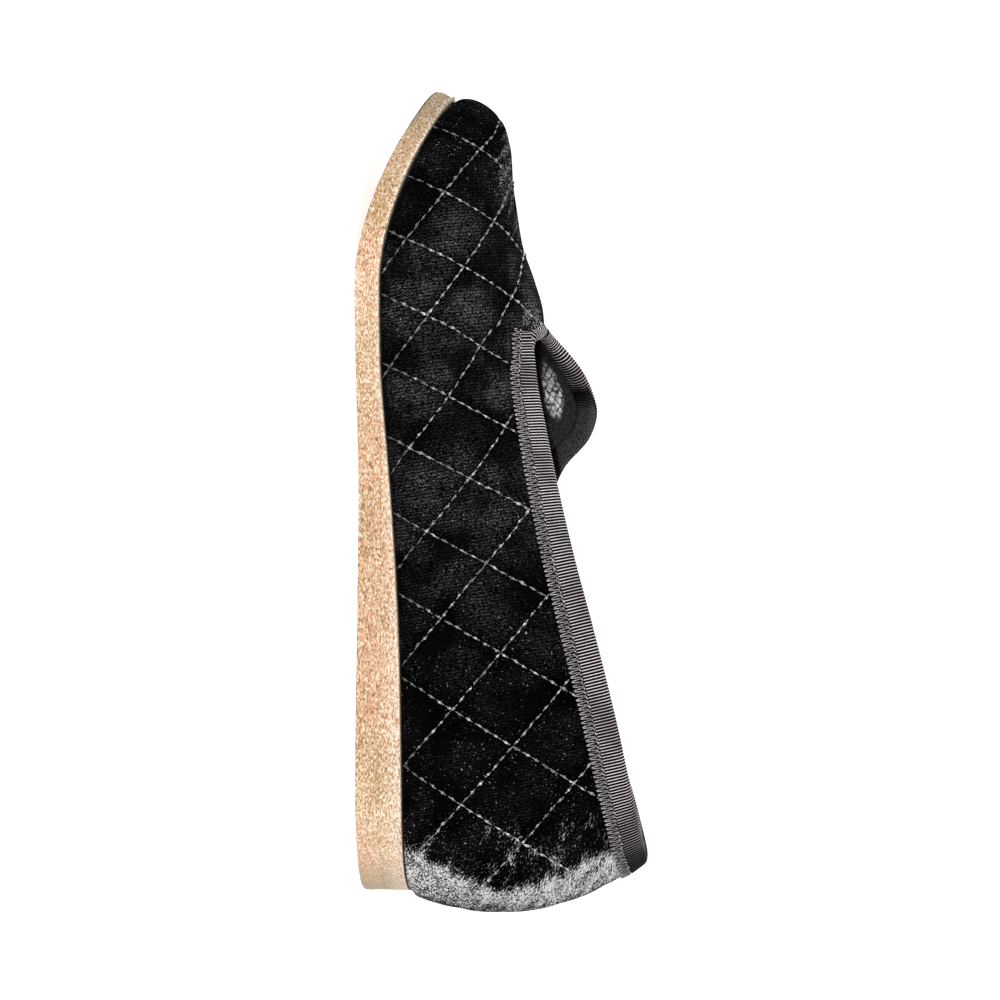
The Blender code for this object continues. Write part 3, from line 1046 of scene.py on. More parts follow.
@dataclass(frozen=True)
class StitchFamily:
    """One set of parallel quilting lines, counted along the shoe.

    A line's number at a point is first - (x + lean * height) / pitch, plus small terms that open
    the lines out towards the heel or turn them towards the toe.
    """

    first: float
    pitch: float
    lean: float
    open_out: float
    turn: float

    def number(self, x: Array, height: Array) -> Array:
        """Line numbers, whole on the lines, at lengths along and heights up the developed wall."""
        straight = self.first - (x + self.lean * height) / self.pitch
        return straight + self.open_out * x**2 + self.turn * x * height


@dataclass
class Quilting:
    """The two sets of quilting lines and the relief between them."""

    steep: StitchFamily = StitchFamily(6.09, 21.66, 0.5, -0.00005, 0.0)
    shallow: StitchFamily = StitchFamily(1.895, 29.4, -1.21, 0.0, 0.00005)
    girth_share: float = 0.6
    ridge_offset: float = -0.5
    ridge_reach: float = 16.0
    ridge_from: Span = (THROAT - 0.02, THROAT + 0.05)
    puff: float = 0.5
    puff_power: float = 0.6
    puff_base: float = 0.35
    valley: float = 0.3
    valley_half: float = 1.6
    line_spacing: float = 18.0

    def numbers(self, skin: Array, stations: Array, arc: Array) -> list[Array]:
        """Both line numbers over the wall, meeting in crossings on the vamp's ridge.

        Args:
            skin: points of the upper's outer face.
            stations: the ribs' places.
            arc: the way up each rib.

        Returns:
            Numbers of the steep lines and of the shallow lines.
        """
        x, z = skin[..., 0], skin[..., 2]
        height = z + self.girth_share * (arc - (z - z[:, :1]))
        steep, shallow = (family.number(x, height) for family in (self.steep, self.shallow))
        on_vamp = ease(stations, *self.ridge_from)[:, None]
        pull = ease(arc[:, -1:] - arc, self.ridge_reach, 0) * on_vamp
        middle, offset = (steep + shallow) / 2, (steep - shallow) / 2
        offset = offset + (self.ridge_offset - offset) * pull
        return [middle + offset, middle - offset]

    def dome(self, numbers: list[Array]) -> Array:
        """How near the middle of its diamond each point is, from 0 on a line to 1."""
        steep, shallow = numbers
        return np.abs(np.sin(pi * steep) * np.sin(pi * shallow)) ** self.puff_power

    def on_line(self, numbers: list[Array], half: float) -> Array:
        """1 on a line, falling off within about half a width in millimetres."""
        off = np.minimum(*[np.abs(number - np.round(number)) for number in numbers])
        return np.exp(-((off * self.line_spacing / half) ** 2))

    def relief(self, numbers: list[Array]) -> Array:
        """Height of the puffs and valleys, in millimetres."""
        puff = self.puff * (self.dome(numbers) - self.puff_base)
        return puff - self.valley * self.on_line(numbers, self.valley_half)

    def lines(self, points: Array, numbers: Array) -> list[Array]:
        """Runs of points along each whole-numbered line.

        Args:
            points: points of the upper's outer face.
            numbers: line numbers at them, falling towards the toe.

        Returns:
            One array of points for each line.
        """
        runs = []
        for line in range(int(np.ceil(numbers.min())), int(np.floor(numbers.max())) + 1):
            run = []
            for row in range(points.shape[1]):
                falling = numbers[:, row]
                if falling[-1] < line < falling[0]:
                    at = np.interp(-line, -falling, np.arange(len(falling)))
                    low = min(int(at), len(falling) - 2)
                    share = at - low
                    run.append(points[low, row] * (1 - share) + points[low + 1, row] * share)
            if len(run) > 2:
                runs.append(np.array(run))
        return runs


@dataclass
class Wall:
    """One side of the upper's outer face on a grid, and what is measured over it."""

    side: Side
    stations: Array
    shares: Array
    last: Last
    quilting: Quilting

    def __post_init__(self) -> None:
        """Works out the points, the ways along them and the quilting lines' numbers."""
        self.skin = self.last.skin(self.side, self.stations, self.shares)
        self.points = self.last.to_frame(self.skin)
        self.arc = self.walked(1)
        self.to_edge = self.arc[:, -1:] - self.arc
        self.numbers = self.quilting.numbers(self.skin, self.stations, self.arc)

    def walked(self, axis: int) -> Array:
        """Way up each rib or, along axis 0, round the wall from the heel's back.

        Args:
            axis: the grid's axis.

        Returns:
            The way to each point, in millimetres.
        """
        steps = np.linalg.norm(np.diff(self.skin, axis=axis), axis=2)
        start = np.zeros_like(np.take(self.skin[..., 0], [0], axis))
        return np.concatenate([start, np.cumsum(steps, axis=axis)], axis=axis)

    def by_station(self, start: float, end: float) -> Array:
        """Smooth step over the stations, the same all the way up each rib."""
        return ease(self.stations, start, end)[:, None]


@dataclass
class WallShade:
    """The black strip of painted shadow low on the far wall's inside, under the line of the near
    collar.
    """

    last: Last = LAST
    fall: float = 0.082
    rise: float = 3.9
    soft: float = 0.3
    shadow_depth: float = 6.0
    fade: float = 5.0
    rim_steps: int = 120

    def __post_init__(self) -> None:
        """Keeps the near collar's line."""
        stations = np.linspace(0, THROAT, self.rim_steps)
        self.rim = self.last.to_frame(self.last.skin(Side.INNER, stations, np.ones(1)))[:, 0]

    def at(self, point: Vector) -> float:
        """Depth of the shade at a point.

        Args:
            point: a point of the wall's inside.

        Returns:
            1 in the strip, 0 above it and well below it.
        """
        x, y, z = self.rim.T
        away = np.interp(point.x, x, y) - point.y
        edge = np.interp(point.x, x, z) - away * self.fall + self.rise * MM
        foot, soft = edge - self.shadow_depth * MM, self.soft * MM
        below = ease(point.z, foot - self.fade * MM, foot)
        return float(ease(point.z, edge + soft, edge - soft) * below) * (point.y < 0)


@dataclass
class Upper:
    """The quilted velvet upper, its back seam, its stitching and its lining."""

    last: Last = LAST
    quilting: Quilting = field(default_factory=Quilting)
    shade: WallShade = field(default_factory=WallShade)
    collar_steps: int = 214
    vamp_steps: int = 116
    wall_steps: int = 84
    lining_every: int = 2
    crown_from: Span = (THROAT - 0.03, THROAT + 0.03)
    crown_reach: float = 18.0
    crown_flat: float = 0.75
    heel_flat_at: Span = (0.14, 0.05)
    heel_flat: float = 0.6
    collar_ends: Span = (THROAT, THROAT + 0.03)
    ribbon_flat: Span = (9.0, 4.95)
    feather_roll: float = 3.2
    feather_tuck: float = 1.0
    toe_fill: float = 0.9
    toe_fill_x: Span = (98.0, 113.0)
    seam_at: Span = (0.12, 0.08)
    seam_half: float = 0.9
    seam_depth: float = 0.7
    sheen_top: Span = (0.168, 0.146)
    sheen_dip: float = 0.045
    sheen_dip_z: float = 42.0
    sheen_dip_reach: float = 24.0
    sheen_fade: float = 0.027
    sheen_seams: float = 0.55
    sheen_stray: float = 0.31
    sheen_seam_half: float = 1.6
    sheen_seam_at: Span = (0.25, 0.15)
    sheen_behind: float = 0.48
    sheen_full: Span = (0.0, 0.090)
    sheen_full_low: float = 0.030
    crown_sheen: float = 0.33
    crown_sheen_up: Span = (0.46, 0.76)
    crown_sheen_from_x: Span = (64.0, 88.0)
    crown_sheen_to_x: Span = (119.0, 111.0)
    throat_dust: float = 0.50
    throat_dust_at: Triple = (55.0, 8.0, 48.0)
    throat_dust_reach: Span = (9.0, 2.0)
    stitch_pitch: float = 3.2
    stitch_long: float = 3.0
    stitch_thick: float = 0.40
    stitch_proud: float = 0.12
    stitch_stray: float = 0.4
    stitch_dim: float = 0.42
    knot_long: float = 1.20
    knot_thick: float = 0.76
    knot_stray: float = 1.0
    low_shade_shine: float = 0.25
    low_shade_reach: Span = (2.0, 15.0)
    toe_stitch_x: Span = (68.0, 92.0)
    toe_stitch_dim: float = 0.45
    worn_stitch_x: Span = (84.0, 96.0)
    worn_stitch_reach: Span = (16.0, 6.0)
    worn_stitch_dim: float = 0.75
    first_stitch_station: float = 0.085
    clear_of_collar: float = 6.6
    surface: BMesh | None = None
    velvet_tree: BVHTree | None = None

    def walls(self, every: int = 1) -> dict[Side, Wall]:
        """Both sides' grids, with every station and share or with one in several.

        Args:
            every: how many steps of the fine grid make one.

        Returns:
            A grid for each side.
        """
        collar = np.linspace(0, THROAT, self.collar_steps + 1)
        vamp = np.linspace(THROAT, 1, self.vamp_steps + 1)
        stations = np.concatenate([collar, vamp[1:]])[::every]
        stations[-1] = 1.0
        shares = np.linspace(0, 1, self.wall_steps // every + 1)
        return {side: Wall(side, stations, shares, self.last, self.quilting) for side in Side}

    def sheet(self, walls: dict[Side, Wall], layers: dict[Side, dict[str, Array]]) -> BMesh:
        """A sheet from the outer toe round the heel to the inner toe.

        Args:
            walls: both sides' grids.
            layers: the values that each side's points carry, by name.

        Returns:
            The welded mesh, facing out.
        """
        end, top = (count - 1 for count in walls[Side.INNER].points.shape[:2])

        def half(column: int) -> tuple[Side, int]:
            """Side and rib of a column."""
            return (Side.INNER if column >= end else Side.OUTER), abs(column - end)

        def place(column: int, row: int) -> Vector:
            """Point of a column and row."""
            side, rib = half(column)
            return Vector(walls[side].points[rib, row])

        mesh = sheet_mesh(2 * end, top, place)
        for name in layers[Side.INNER]:
            layer = mesh.verts.layers.float.new(name)
            for vertex in mesh.verts:
                row, column = divmod(vertex.index, 2 * end + 1)
                side, rib = half(column)
                vertex[layer] = layers[side][name][rib, row]
        bmesh.ops.remove_doubles(mesh, verts=mesh.verts, dist=WELD)
        face_away(mesh, Vector((0, 0, self.last.wedge_lift * MM)))
        mesh.normal_update()
        return mesh

    def lift(self, wall: Wall) -> Array:
        """How far the velvet stands off the last's surface.

        Args:
            wall: a side's grid.

        Returns:
            The lift at each point, in millimetres.
        """
        relief = self.quilting.relief(wall.numbers)
        crown = wall.by_station(*self.crown_from) * ease(wall.to_edge, self.crown_reach, 0)
        relief *= 1 - self.crown_flat * crown
        relief *= 1 - self.heel_flat * wall.by_station(*self.heel_flat_at)
        bound = 1 - wall.by_station(*self.collar_ends)
        relief *= 1 - bound * ease(wall.to_edge, *self.ribbon_flat)
        foot = ease(wall.arc, self.feather_roll, 0)
        relief = relief * (1 - foot) - self.feather_tuck * foot**2
        relief = relief + self.toe_fill * ease(wall.skin[..., 0], *self.toe_fill_x)
        seam = np.exp(-((wall.skin[..., 1] / self.seam_half) ** 2)) * wall.by_station(*self.seam_at)
        return relief * (1 - seam) - self.seam_depth * seam

    def high_up(self, wall: Wall) -> Array:
        """0 on the wall's lower half and 1 near the collar, at each point."""
        low, high = self.sheen_dip_z - self.sheen_dip_reach, self.sheen_dip_z + self.sheen_dip_reach
        return ease(wall.skin[..., 2], low, high)

    def nap(self, wall: Wall) -> Array:
        """How pale the pile is round the heel with painted sheen, in a band with a dip half way up.

        Args:
            wall: a side's grid.

        Returns:
            0 to 1 at each point.
        """
        dip = np.clip(np.abs(wall.skin[..., 2] - self.sheen_dip_z) / self.sheen_dip_reach, 0, 1)
        low, high = self.sheen_top
        top = low + (high - low) * self.high_up(wall) + self.sheen_dip * (dip - 1)
        band = ease((top - wall.stations[:, None]) / self.sheen_fade, -1, 1)
        seams = self.quilting.on_line(wall.numbers, self.sheen_seam_half)
        stray = self.sheen_stray + (self.sheen_seams - self.sheen_stray) * seams
        return np.maximum(band, stray * wall.by_station(*self.sheen_seam_at))

    def round_back(self, wall: Wall) -> Array:
        """Share of the heel's painted sheen that is left: it thins out towards the back, sooner
        lower down.
        """
        at = wall.stations[:, None] - self.sheen_full_low * (1 - self.high_up(wall))
        return self.sheen_behind + (1 - self.sheen_behind) * ease(at, *self.sheen_full)

    def dust_and_sheen(self, wall: Wall) -> Array:
        """How pale the pile is: painted sheen over the toe's crown and dust ahead of the throat.

        Args:
            wall: a side's grid.

        Returns:
            0 to 1 at each point.
        """
        along = wall.skin[..., 0]
        crown = ease(wall.shares, *self.crown_sheen_up)[None, :]
        crown = crown * ease(along, *self.crown_sheen_from_x) * ease(along, *self.crown_sheen_to_x)
        off = np.linalg.norm(wall.skin - np.array(self.throat_dust_at), axis=-1)
        throat = ease(off, *self.throat_dust_reach)
        return np.maximum(self.crown_sheen * crown, self.throat_dust * throat)

    def build_velvet(self, material: Material) -> Object:
        """Builds the outer face with its quilted relief.

        Args:
            material: the velvet.

        Returns:
            The piece.
        """
        walls = self.walls()
        layers = {
            side: {
                "lift": self.lift(wall),
                "nap": self.nap(wall),
                # the puffs' domes also paint light on the weave: brighter on the puffs' middles,
                # darker along the lines
                "puff": self.quilting.dome(wall.numbers),
                "dust_and_sheen": self.dust_and_sheen(wall),
                "round_back": self.round_back(wall),
                "around": wall.walked(0) * side.value,
                "rise": wall.arc,
            }
            for side, wall in walls.items()
        }
        mesh = self.sheet(walls, layers)
        self.surface = mesh.copy()
        lift = mesh.verts.layers.float["lift"]
        push_out(mesh, lambda vertex: vertex[lift])
        mesh.verts.layers.float.remove(lift)
        piece = add_piece("quilted_velvet", mesh, material, "velvet")
        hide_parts("upper")
        self.velvet_tree = BVHTree.FromBMesh(mesh)
        return piece

    def stitch_shine(self, wall: Wall) -> Array:
        """How bright the thread is: dim in painted shade low down, dim at the toe, worn over the
        toe's crown.

        Args:
            wall: a side's grid.

        Returns:
            0 to 1 at each point.
        """
        along = wall.skin[..., 0]
        # painted shade: the thread dims low down near the sole
        shine = self.low_shade_shine + (1 - self.low_shade_shine) * ease(wall.arc, *self.low_shade_reach)
        shine *= 1 - self.toe_stitch_dim * ease(along, *self.toe_stitch_x)
        worn = ease(along, *self.worn_stitch_x) * ease(wall.to_edge, *self.worn_stitch_reach)
        return shine * (1 - self.worn_stitch_dim * worn)

    def build_stitches(self, material: Material) -> Object:
        """Lays thread with knots in the quilting's valleys.

        Args:
            material: the thread.

        Returns:
            The piece.
        """
        pitch, proud, mesh = self.stitch_pitch, self.stitch_proud, bmesh.new()
        thread, knots = (
            StitchRow(pitch, long, thick, proud, stray=stray, mesh=mesh)
            for long, thick, stray in (
                (self.stitch_long, self.stitch_thick, self.stitch_stray),
                (self.knot_long, self.knot_thick, self.knot_stray),
            )
        )
        for wall in self.walls().values():
            under = (wall.to_edge < self.clear_of_collar) & (wall.stations <= THROAT)[:, None]
            under |= (wall.stations < self.first_stitch_station)[:, None]
            marked = np.dstack([wall.points, under, self.stitch_shine(wall)])
            runs = [self.quilting.lines(marked, numbers) for numbers in wall.numbers]
            for run in runs[0] + runs[1]:
                shown = run[run[:, 3] < 0.5]
                if len(shown) > 3:
                    thread.lay(shown[:, :3], shown[:, 4] * self.stitch_dim, self.velvet_tree)
                    knots.lay(shown[:, :3], shown[:, 4], self.velvet_tree)
        return add_piece("quilting_stitches", mesh, material, "velvet")

    def build_lining(self, material: Material) -> Object:
        """Builds the inner face of the wall.

        Args:
            material: the lining.

        Returns:
            The piece.
        """
        mesh = self.sheet(self.walls(self.lining_every), {side: {} for side in Side})
        # painted shadow of the near collar on the far wall's inside
        shadow_depth = mesh.verts.layers.float.new("shadow_depth")
        for vertex in mesh.verts:
            vertex[shadow_depth] = self.shade.at(vertex.co)
        push_out(mesh, lambda vertex: -self.last.wall)
        bmesh.ops.reverse_faces(mesh, faces=mesh.faces)
        return add_piece("lining", mesh, material, "insole_cloth")


@dataclass
class StitchRow:
    """Short rounded stitches joined into one mesh, each with its own glint.

    The strays are how far a stitch's length, thickness, place along and across the row and turn
    may differ. The dimming is the most that it loses of its glint, and the power that favours less.
    """

    pitch: float
    long: float
    thick: float
    proud: float
    turn: float = 0.0
    stray: float = 0.0
    strays: tuple[float, ...] = (0.35, 0.28, 0.18, 0.16, 0.30)
    dimming: Span = (0.85, 1.6)
    sides: int = 6
    rings: int = 4
    seed: int = 11
    mesh: BMesh = field(default_factory=bmesh.new)

    def __post_init__(self) -> None:
        """Makes the one stitch that is repeated, a metre long and thick, and the random draws."""
        one = bmesh.new()
        bmesh.ops.create_uvsphere(one, u_segments=self.sides, v_segments=self.rings, radius=0.5)
        bmesh.ops.rotate(one, verts=one.verts, matrix=Matrix.Rotation(pi / 2, 3, "Y"))
        self.bead = bpy.data.meshes.new("stitch")
        one.to_mesh(self.bead)
        self.chance = np.random.default_rng(self.seed)

    def lay(self, run: Array, shine: Array, tree: BVHTree) -> None:
        """Lays stitches along a run of points, on the surface below it.

        Args:
            run: points along the line.
            shine: how bright the thread is at each point.
            tree: the surface that carries the stitches.
        """
        values = self.mesh.verts.layers.float
        glint = values.get("glint") or values.new("glint")
        walked = np.concatenate([[0], np.cumsum(np.linalg.norm(np.diff(run, axis=0), axis=1))])

        def point(at: float) -> Vector:
            """Point of the run at a way along it."""
            return Vector([np.interp(at, walked, run[:, axis]) for axis in range(3)])

        most, power = self.dimming
        for index in range(int(walked[-1] / (self.pitch * MM))):
            draws = self.stray * self.chance.uniform(-1, 1, 5) * np.array(self.strays)
            longer, thicker, shift, aside, yaw = (float(draw) for draw in draws)
            dim = 1 - self.stray * most * self.chance.uniform() ** power
            middle = (index + 0.5 + shift) * self.pitch * MM
            long, thick = self.long * (1 + longer) * MM, self.thick * (1 + thicker) * MM
            start, stop = point(middle - long / 2), point(middle + long / 2)
            spot, normal, _, _ = tree.find_nearest((start + stop) / 2)
            along = Matrix.Rotation(self.turn + yaw, 3, normal) @ (stop - start).normalized()
            across = normal.cross(along).normalized()
            turn = Matrix((along, across, along.cross(across))).transposed()
            move = (turn @ Matrix.Diagonal((long, thick, thick))).to_4x4()
            move.translation = spot + (normal * self.proud + across * aside) * MM
            first = len(self.mesh.verts)
            self.mesh.from_mesh(self.bead)
            self.mesh.verts.ensure_lookup_table()
            added = self.mesh.verts[first:]
            for vertex in added:
                vertex[glint] = dim * np.interp(middle, walked, shine)
            bmesh.ops.transform(self.mesh, verts=added, matrix=move)


@dataclass
class RibbonStep:
    """One step along the collar's edge."""

    edge: Vector
    out: Vector
    down: Vector
    station: float
    side: Side
    turning: bool
    ahead: float


@dataclass
class RibbonBinding:
    """The ribbed ribbon folded over the collar, with its looped selvedge and its chain stitch."""

    last: Last = LAST
    shade: WallShade = field(default_factory=WallShade)
    width: float = 7.5
    throat_width: float = 3.0
    narrowing: Span = (0.600, 0.634)
    straight_from: float = 0.612
    straight_long: float = 8.4
    straight_steps: int = 20
    straight_lean: float = 0.012
    ahead_widening: float = 0.10
    cast_from: float = 0.1
    turn_share: float = 0.85
    throat_sink: Span = (0.616, 0.634)
    throat_slope: float = 1.2
    tuck: float = 0.25
    tuck_over: float = 0.012
    thick: float = 0.7
    gap: float = 0.35
    rib_pitch: float = 0.89
    rib_high: float = 0.24
    steps_per_rib: int = 4
    face_shares: tuple[float, ...] = (0.0, 0.12, 0.26, 0.40, 0.52, 0.60, 0.64, 0.70, 0.85, 1.0)
    ribs_to: float = 0.62
    hem_sink: float = 0.30
    hem_droop: float = 0.3
    hem_droop_at: Span = (0.8, 1.0)
    inner_shares: tuple[float, ...] = (0.0, 0.16, 0.32, 0.44, 0.50)
    inner_ribs_to: float = 0.46
    inner_hem_sink: float = 0.35
    outer_back: tuple[float, ...] = (0.0, 0.5, 1.0)
    inner_back: tuple[float, ...] = (0.50, 0.25, 0.0)
    shade_plain_from: Span = (0.600, 0.556)
    shade_plain_to: Span = (0.30, 0.42)
    heel_shine: float = 0.72
    heel_dim: Span = (0.06, 0.24)
    fold_steps: int = 5
    trace_steps: int = 500
    trace_crowding: float = 1.5
    throat_steps: int = 62
    below_share: float = 0.88
    slope_steps: int = 5
    loop_pitch: float = 1.36
    loop_steps: int = 10
    loop_span: Span = (0.68, 1.06)
    loop_square: float = 1.35
    loop_lift: Span = (1.0, 0.45)
    loop_shine: Span = (0.35, 0.45)
    loop_sides: int = 5
    loop_thick: float = 0.31
    chain_share: float = 0.66
    chain_pitch: float = 1.36
    chain_long: float = 1.35
    chain_thick: float = 0.40
    chain_proud: float = 0.05
    chain_turn: float = 0.5
    chain_stray: float = 0.25

    def trace(self) -> tuple[Array, Array, Array, Array]:
        """Even steps along the ribbon: its straight end by the throat, the inner side, the heel,
        the outer side and the turn round the throat that goes under the straight end.

        Returns:
            Edge points, points a little below them, stations, and 1, -1 or 0 for the inner side,
            the outer side and the turn.
        """
        crowded = (1 - np.linspace(0, 1, self.trace_steps)) ** self.trace_crowding
        stations = self.straight_from * (1 - crowded)
        throat = np.linspace(self.straight_from, THROAT, self.throat_steps)
        shares = np.array([self.below_share, 1.0])
        inner = self.last.skin(Side.INNER, stations[::-1], shares)
        outer = self.last.skin(Side.OUTER, np.concatenate([stations[1:], throat[1:]]), shares)
        turn = self.last.skin(Side.INNER, throat[::-1], shares)
        ends = np.array([self.straight_from - self.straight_lean, self.straight_from])
        way = np.diff(self.last.skin(Side.INNER, ends, np.ones(1))[:, 0], axis=0)[0]
        reach = np.linspace(self.straight_long, 0, self.straight_steps)[:-1, None, None]
        straight = inner[:1] + reach * way / np.linalg.norm(way)
        both = np.concatenate([straight, inner, outer, turn])
        held = np.full(len(straight), stations[-1])
        along = np.concatenate([held, stations[::-1], stations[1:], throat[1:], throat[::-1]])
        spans = np.linalg.norm(np.diff(both[:, 1], axis=0), axis=1)
        spans[len(straight) + len(inner) + len(stations) - 1 :] *= self.turn_share
        walked = np.concatenate([[0], np.cumsum(spans)])
        ribs = round(walked[-1] / self.rib_pitch)
        at = np.linspace(0, walked[-1], ribs * self.steps_per_rib + 1)

        def even(row: int) -> Array:
            """Points of one row at the even steps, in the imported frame."""
            axes = [np.interp(at, walked, both[:, row, axis]) for axis in range(3)]
            return self.last.to_frame(np.stack(axes, axis=-1))

        marks = np.repeat([1, -1, 0], [len(straight) + len(inner), len(outer), len(turn)])
        sides = marks[np.searchsorted(walked, at - TINY).clip(0, len(walked) - 1)]
        return even(1), even(0), np.interp(at, walked, along), sides

    def steps(self, tree: BVHTree) -> list[RibbonStep]:
        """Edge point, way out and way down the wall at each step.

        Args:
            tree: the upper's outer face, without its relief.

        Returns:
            The steps.
        """
        edge, below, stations, sides = self.trace()
        end, span = len(edge) - 1, self.slope_steps
        made = []
        for i in range(end + 1):
            ahead = max(0.0, self.straight_long - i * self.rib_pitch / self.steps_per_rib)
            point, out, _, _ = tree.find_nearest(Vector(edge[i]))
            if ahead:
                start = Vector((edge[i][0], self.cast_from, edge[i][2]))
                point, out, _, _ = tree.ray_cast(start, Vector((0, -1, 0)))
            along = Vector(edge[min(i + span, end)]) - Vector(edge[max(i - span, 0)])
            down = out.cross(along).normalized()
            if down.dot(Vector(below[i]) - point) < 0:
                down.negate()
            side, turning = Side.OUTER if sides[i] < 0 else Side.INNER, bool(sides[i] == 0)
            made.append(RibbonStep(point, out, down, float(stations[i]), side, turning, ahead))
        return made

    def width_at(self, step: RibbonStep) -> float:
        """Width of the ribbon's outside leg, narrowed at the throat.

        Args:
            step: the step round the collar.

        Returns:
            The width, in millimetres.
        """
        if step.turning:
            return self.throat_width
        narrow = (self.throat_width - self.width) * float(ease(step.station, *self.narrowing))
        return self.width + narrow + step.ahead * self.ahead_widening

    def shine_at(self, step: RibbonStep) -> float:
        """How bright the ribbon's face is: dark in painted shade round the heel."""
        return self.heel_shine + (1 - self.heel_shine) * float(ease(step.station, *self.heel_dim))

    def spot(self, tree: BVHTree, step: RibbonStep, share: float, height: float) -> Vector:
        """Point down the wall from the edge.

        Args:
            tree: the upper's outer face.
            step: the step round the collar.
            share: how far down the ribbon's outside leg.
            height: how far off the wall, in millimetres.

        Returns:
            The point.
        """
        reach = self.width_at(step) * share * MM
        spot, normal, _, _ = tree.find_nearest(step.edge + step.down * reach)
        return spot + normal * height * MM

    def ring(self, tree: BVHTree, step: RibbonStep, rib: float) -> list[tuple[Vector, float]]:
        """Closed section of the ribbon: outside leg, fold, inside leg and back.

        Args:
            tree: the upper's outer face.
            step: the step round the collar.
            rib: 1 on a rib's crest and 0 between ribs.

        Returns:
            Points with the rib value that they carry.
        """
        far, wall, at = self.gap + self.thick, self.last.wall, step.station
        swell = self.rib_high * (rib - 0.5)
        # painted shade: on the far side the inside leg loses its ribs where it faces away from the
        # light
        shade_plain = 0.0
        if step.side is Side.OUTER:
            shade_plain = float(ease(at, *self.shade_plain_from) * ease(at, *self.shade_plain_to))
        inner_rib, inner_swell = rib * (1 - shade_plain) - shade_plain, swell * (1 - shade_plain)
        # painted highlight on the crests, dimmed by painted shade round the heel
        lit = rib * self.shine_at(step)
        sunk = float(ease(at, *self.throat_sink))
        if step.turning:
            sunk = 1.0 + float(ease(at, THROAT, THROAT - self.tuck_over))
        far -= self.tuck * sunk
        slope = self.throat_slope * min(1.0, sunk)
        flat = []
        for share in reversed(self.face_shares):
            ribbed = step.turning or share < self.ribs_to
            hem = self.hem_sink + self.hem_droop * float(ease(share, *self.hem_droop_at))
            height = far + (swell if ribbed else -hem) - slope * share
            flat.append((share, height, lit if ribbed else 0.0))
        outside = [(self.spot(tree, step, share, height), value) for share, height, value in flat]
        fold = []
        middle = step.edge - step.out * wall / 2 * MM
        for k in range(1, self.fold_steps + 1):
            angle = pi * k / (self.fold_steps + 1)
            way = step.out * cos(angle) - step.down * sin(angle)
            inside = angle > pi / 2
            height = wall / 2 + far + (inner_swell if inside else swell)
            fold.append((middle + way * height * MM, inner_rib if inside else lit))
        flat = []
        for share in self.inner_shares:
            ribbed = share < self.inner_ribs_to
            height = wall + far + (inner_swell if ribbed else -self.inner_hem_sink)
            flat.append((share, -height, inner_rib if ribbed else -shade_plain))
        flat += [(share, -(wall + self.gap), 0.0) for share in self.inner_back]
        hidden = self.gap / 2 - self.tuck * sunk
        flat += [(share, hidden - slope * share, 0.0) for share in self.outer_back]
        back = [(self.spot(tree, step, share, height), value) for share, height, value in flat]
        return outside + fold + back

    def build(self, surface: BMesh, material: Material, thread: Material) -> None:
        """Builds the ribbon, its looped selvedge and its chain stitch.

        Args:
            surface: the upper's outer face, without its relief.
            material: the ribbon.
            thread: the loops' and the stitch's thread.
        """
        tree = BVHTree.FromBMesh(surface)
        steps = self.steps(tree)
        end = len(steps) - 1
        ribs = [0.5 - 0.5 * cos(2 * pi * i / self.steps_per_rib) for i in range(end + 1)]
        rings = [self.ring(tree, step, rib) for step, rib in zip(steps, ribs)]
        size = len(rings[0])

        def place(column: int, row: int) -> Vector:
            """Point of a step along the ribbon and of a place in the section."""
            return rings[column][row % size][0]

        mesh = sheet_mesh(end, size, place)
        rib_layer, shadow_depth = (mesh.verts.layers.float.new(name) for name in ("rib", "shadow_depth"))
        for vertex in mesh.verts:
            row, column = divmod(vertex.index, end + 1)
            vertex[rib_layer] = rings[column][row % size][1]
            # painted shadow of the near collar on the ribbon's inside leg
            vertex[shadow_depth] = self.shade.at(vertex.co)
        close_tube(mesh)
        piece = add_piece("ribbon_binding", mesh, material, "ribbon")
        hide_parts("collar_binding")
        edged = [step for step in steps if not step.turning]
        add_piece("selvedge_loops", self.loops(tree, edged), thread, "ribbon")
        chain = StitchRow(
            self.chain_pitch, self.chain_long, self.chain_thick, self.chain_proud,
            turn=self.chain_turn, stray=self.chain_stray,
        )
        top = self.gap + self.thick
        run = np.array([self.spot(tree, step, self.chain_share, top) for step in edged])
        shine = np.array([self.shine_at(step) for step in edged])
        chain.lay(run, shine, BVHTree.FromBMesh(mesh))
        add_piece("ribbon_chain_stitch", chain.mesh, thread, "ribbon")

    def loops(self, tree: BVHTree, steps: list[RibbonStep]) -> BMesh:
        """A cord that runs out and back in hairpins along the ribbon's lower edge.

        Args:
            tree: the upper's outer face.
            steps: the steps round the collar.

        Returns:
            The cord's mesh.
        """
        length = len(steps) * self.rib_pitch / self.steps_per_rib
        count = round(length / self.loop_pitch) * self.loop_steps
        (start, stop), (high, fall) = self.loop_span, self.loop_lift
        dull, gain = self.loop_shine
        points, shine = [], []
        for k in range(count + 1):
            at = k / count * (len(steps) - 2)
            low, share = int(at), at - int(at)
            swing = self.loop_square * sin(2 * pi * k / self.loop_steps)
            out = 0.5 + 0.5 * max(-1.0, min(1.0, swing))
            down, lift = start + (stop - start) * out, high - fall * out**2
            pair = [self.spot(tree, steps[i], down, lift) for i in (low, low + 1)]
            points.append(pair[0].lerp(pair[1], share))
            # painted highlight on the loops' outer bends, and painted shade round the heel
            shine.append((dull + gain * out) * self.shine_at(steps[low]))

        def place(column: int, row: int) -> Vector:
            """Point of a place along the cord and of its round section."""
            here = points[column]
            along = (points[min(column + 1, count)] - points[max(column - 1, 0)]).normalized()
            across = along.cross(tree.find_nearest(here)[1]).normalized()
            angle = 2 * pi * row / self.loop_sides
            way = across * cos(angle) + across.cross(along) * sin(angle)
            return here + way * self.loop_thick / 2 * MM

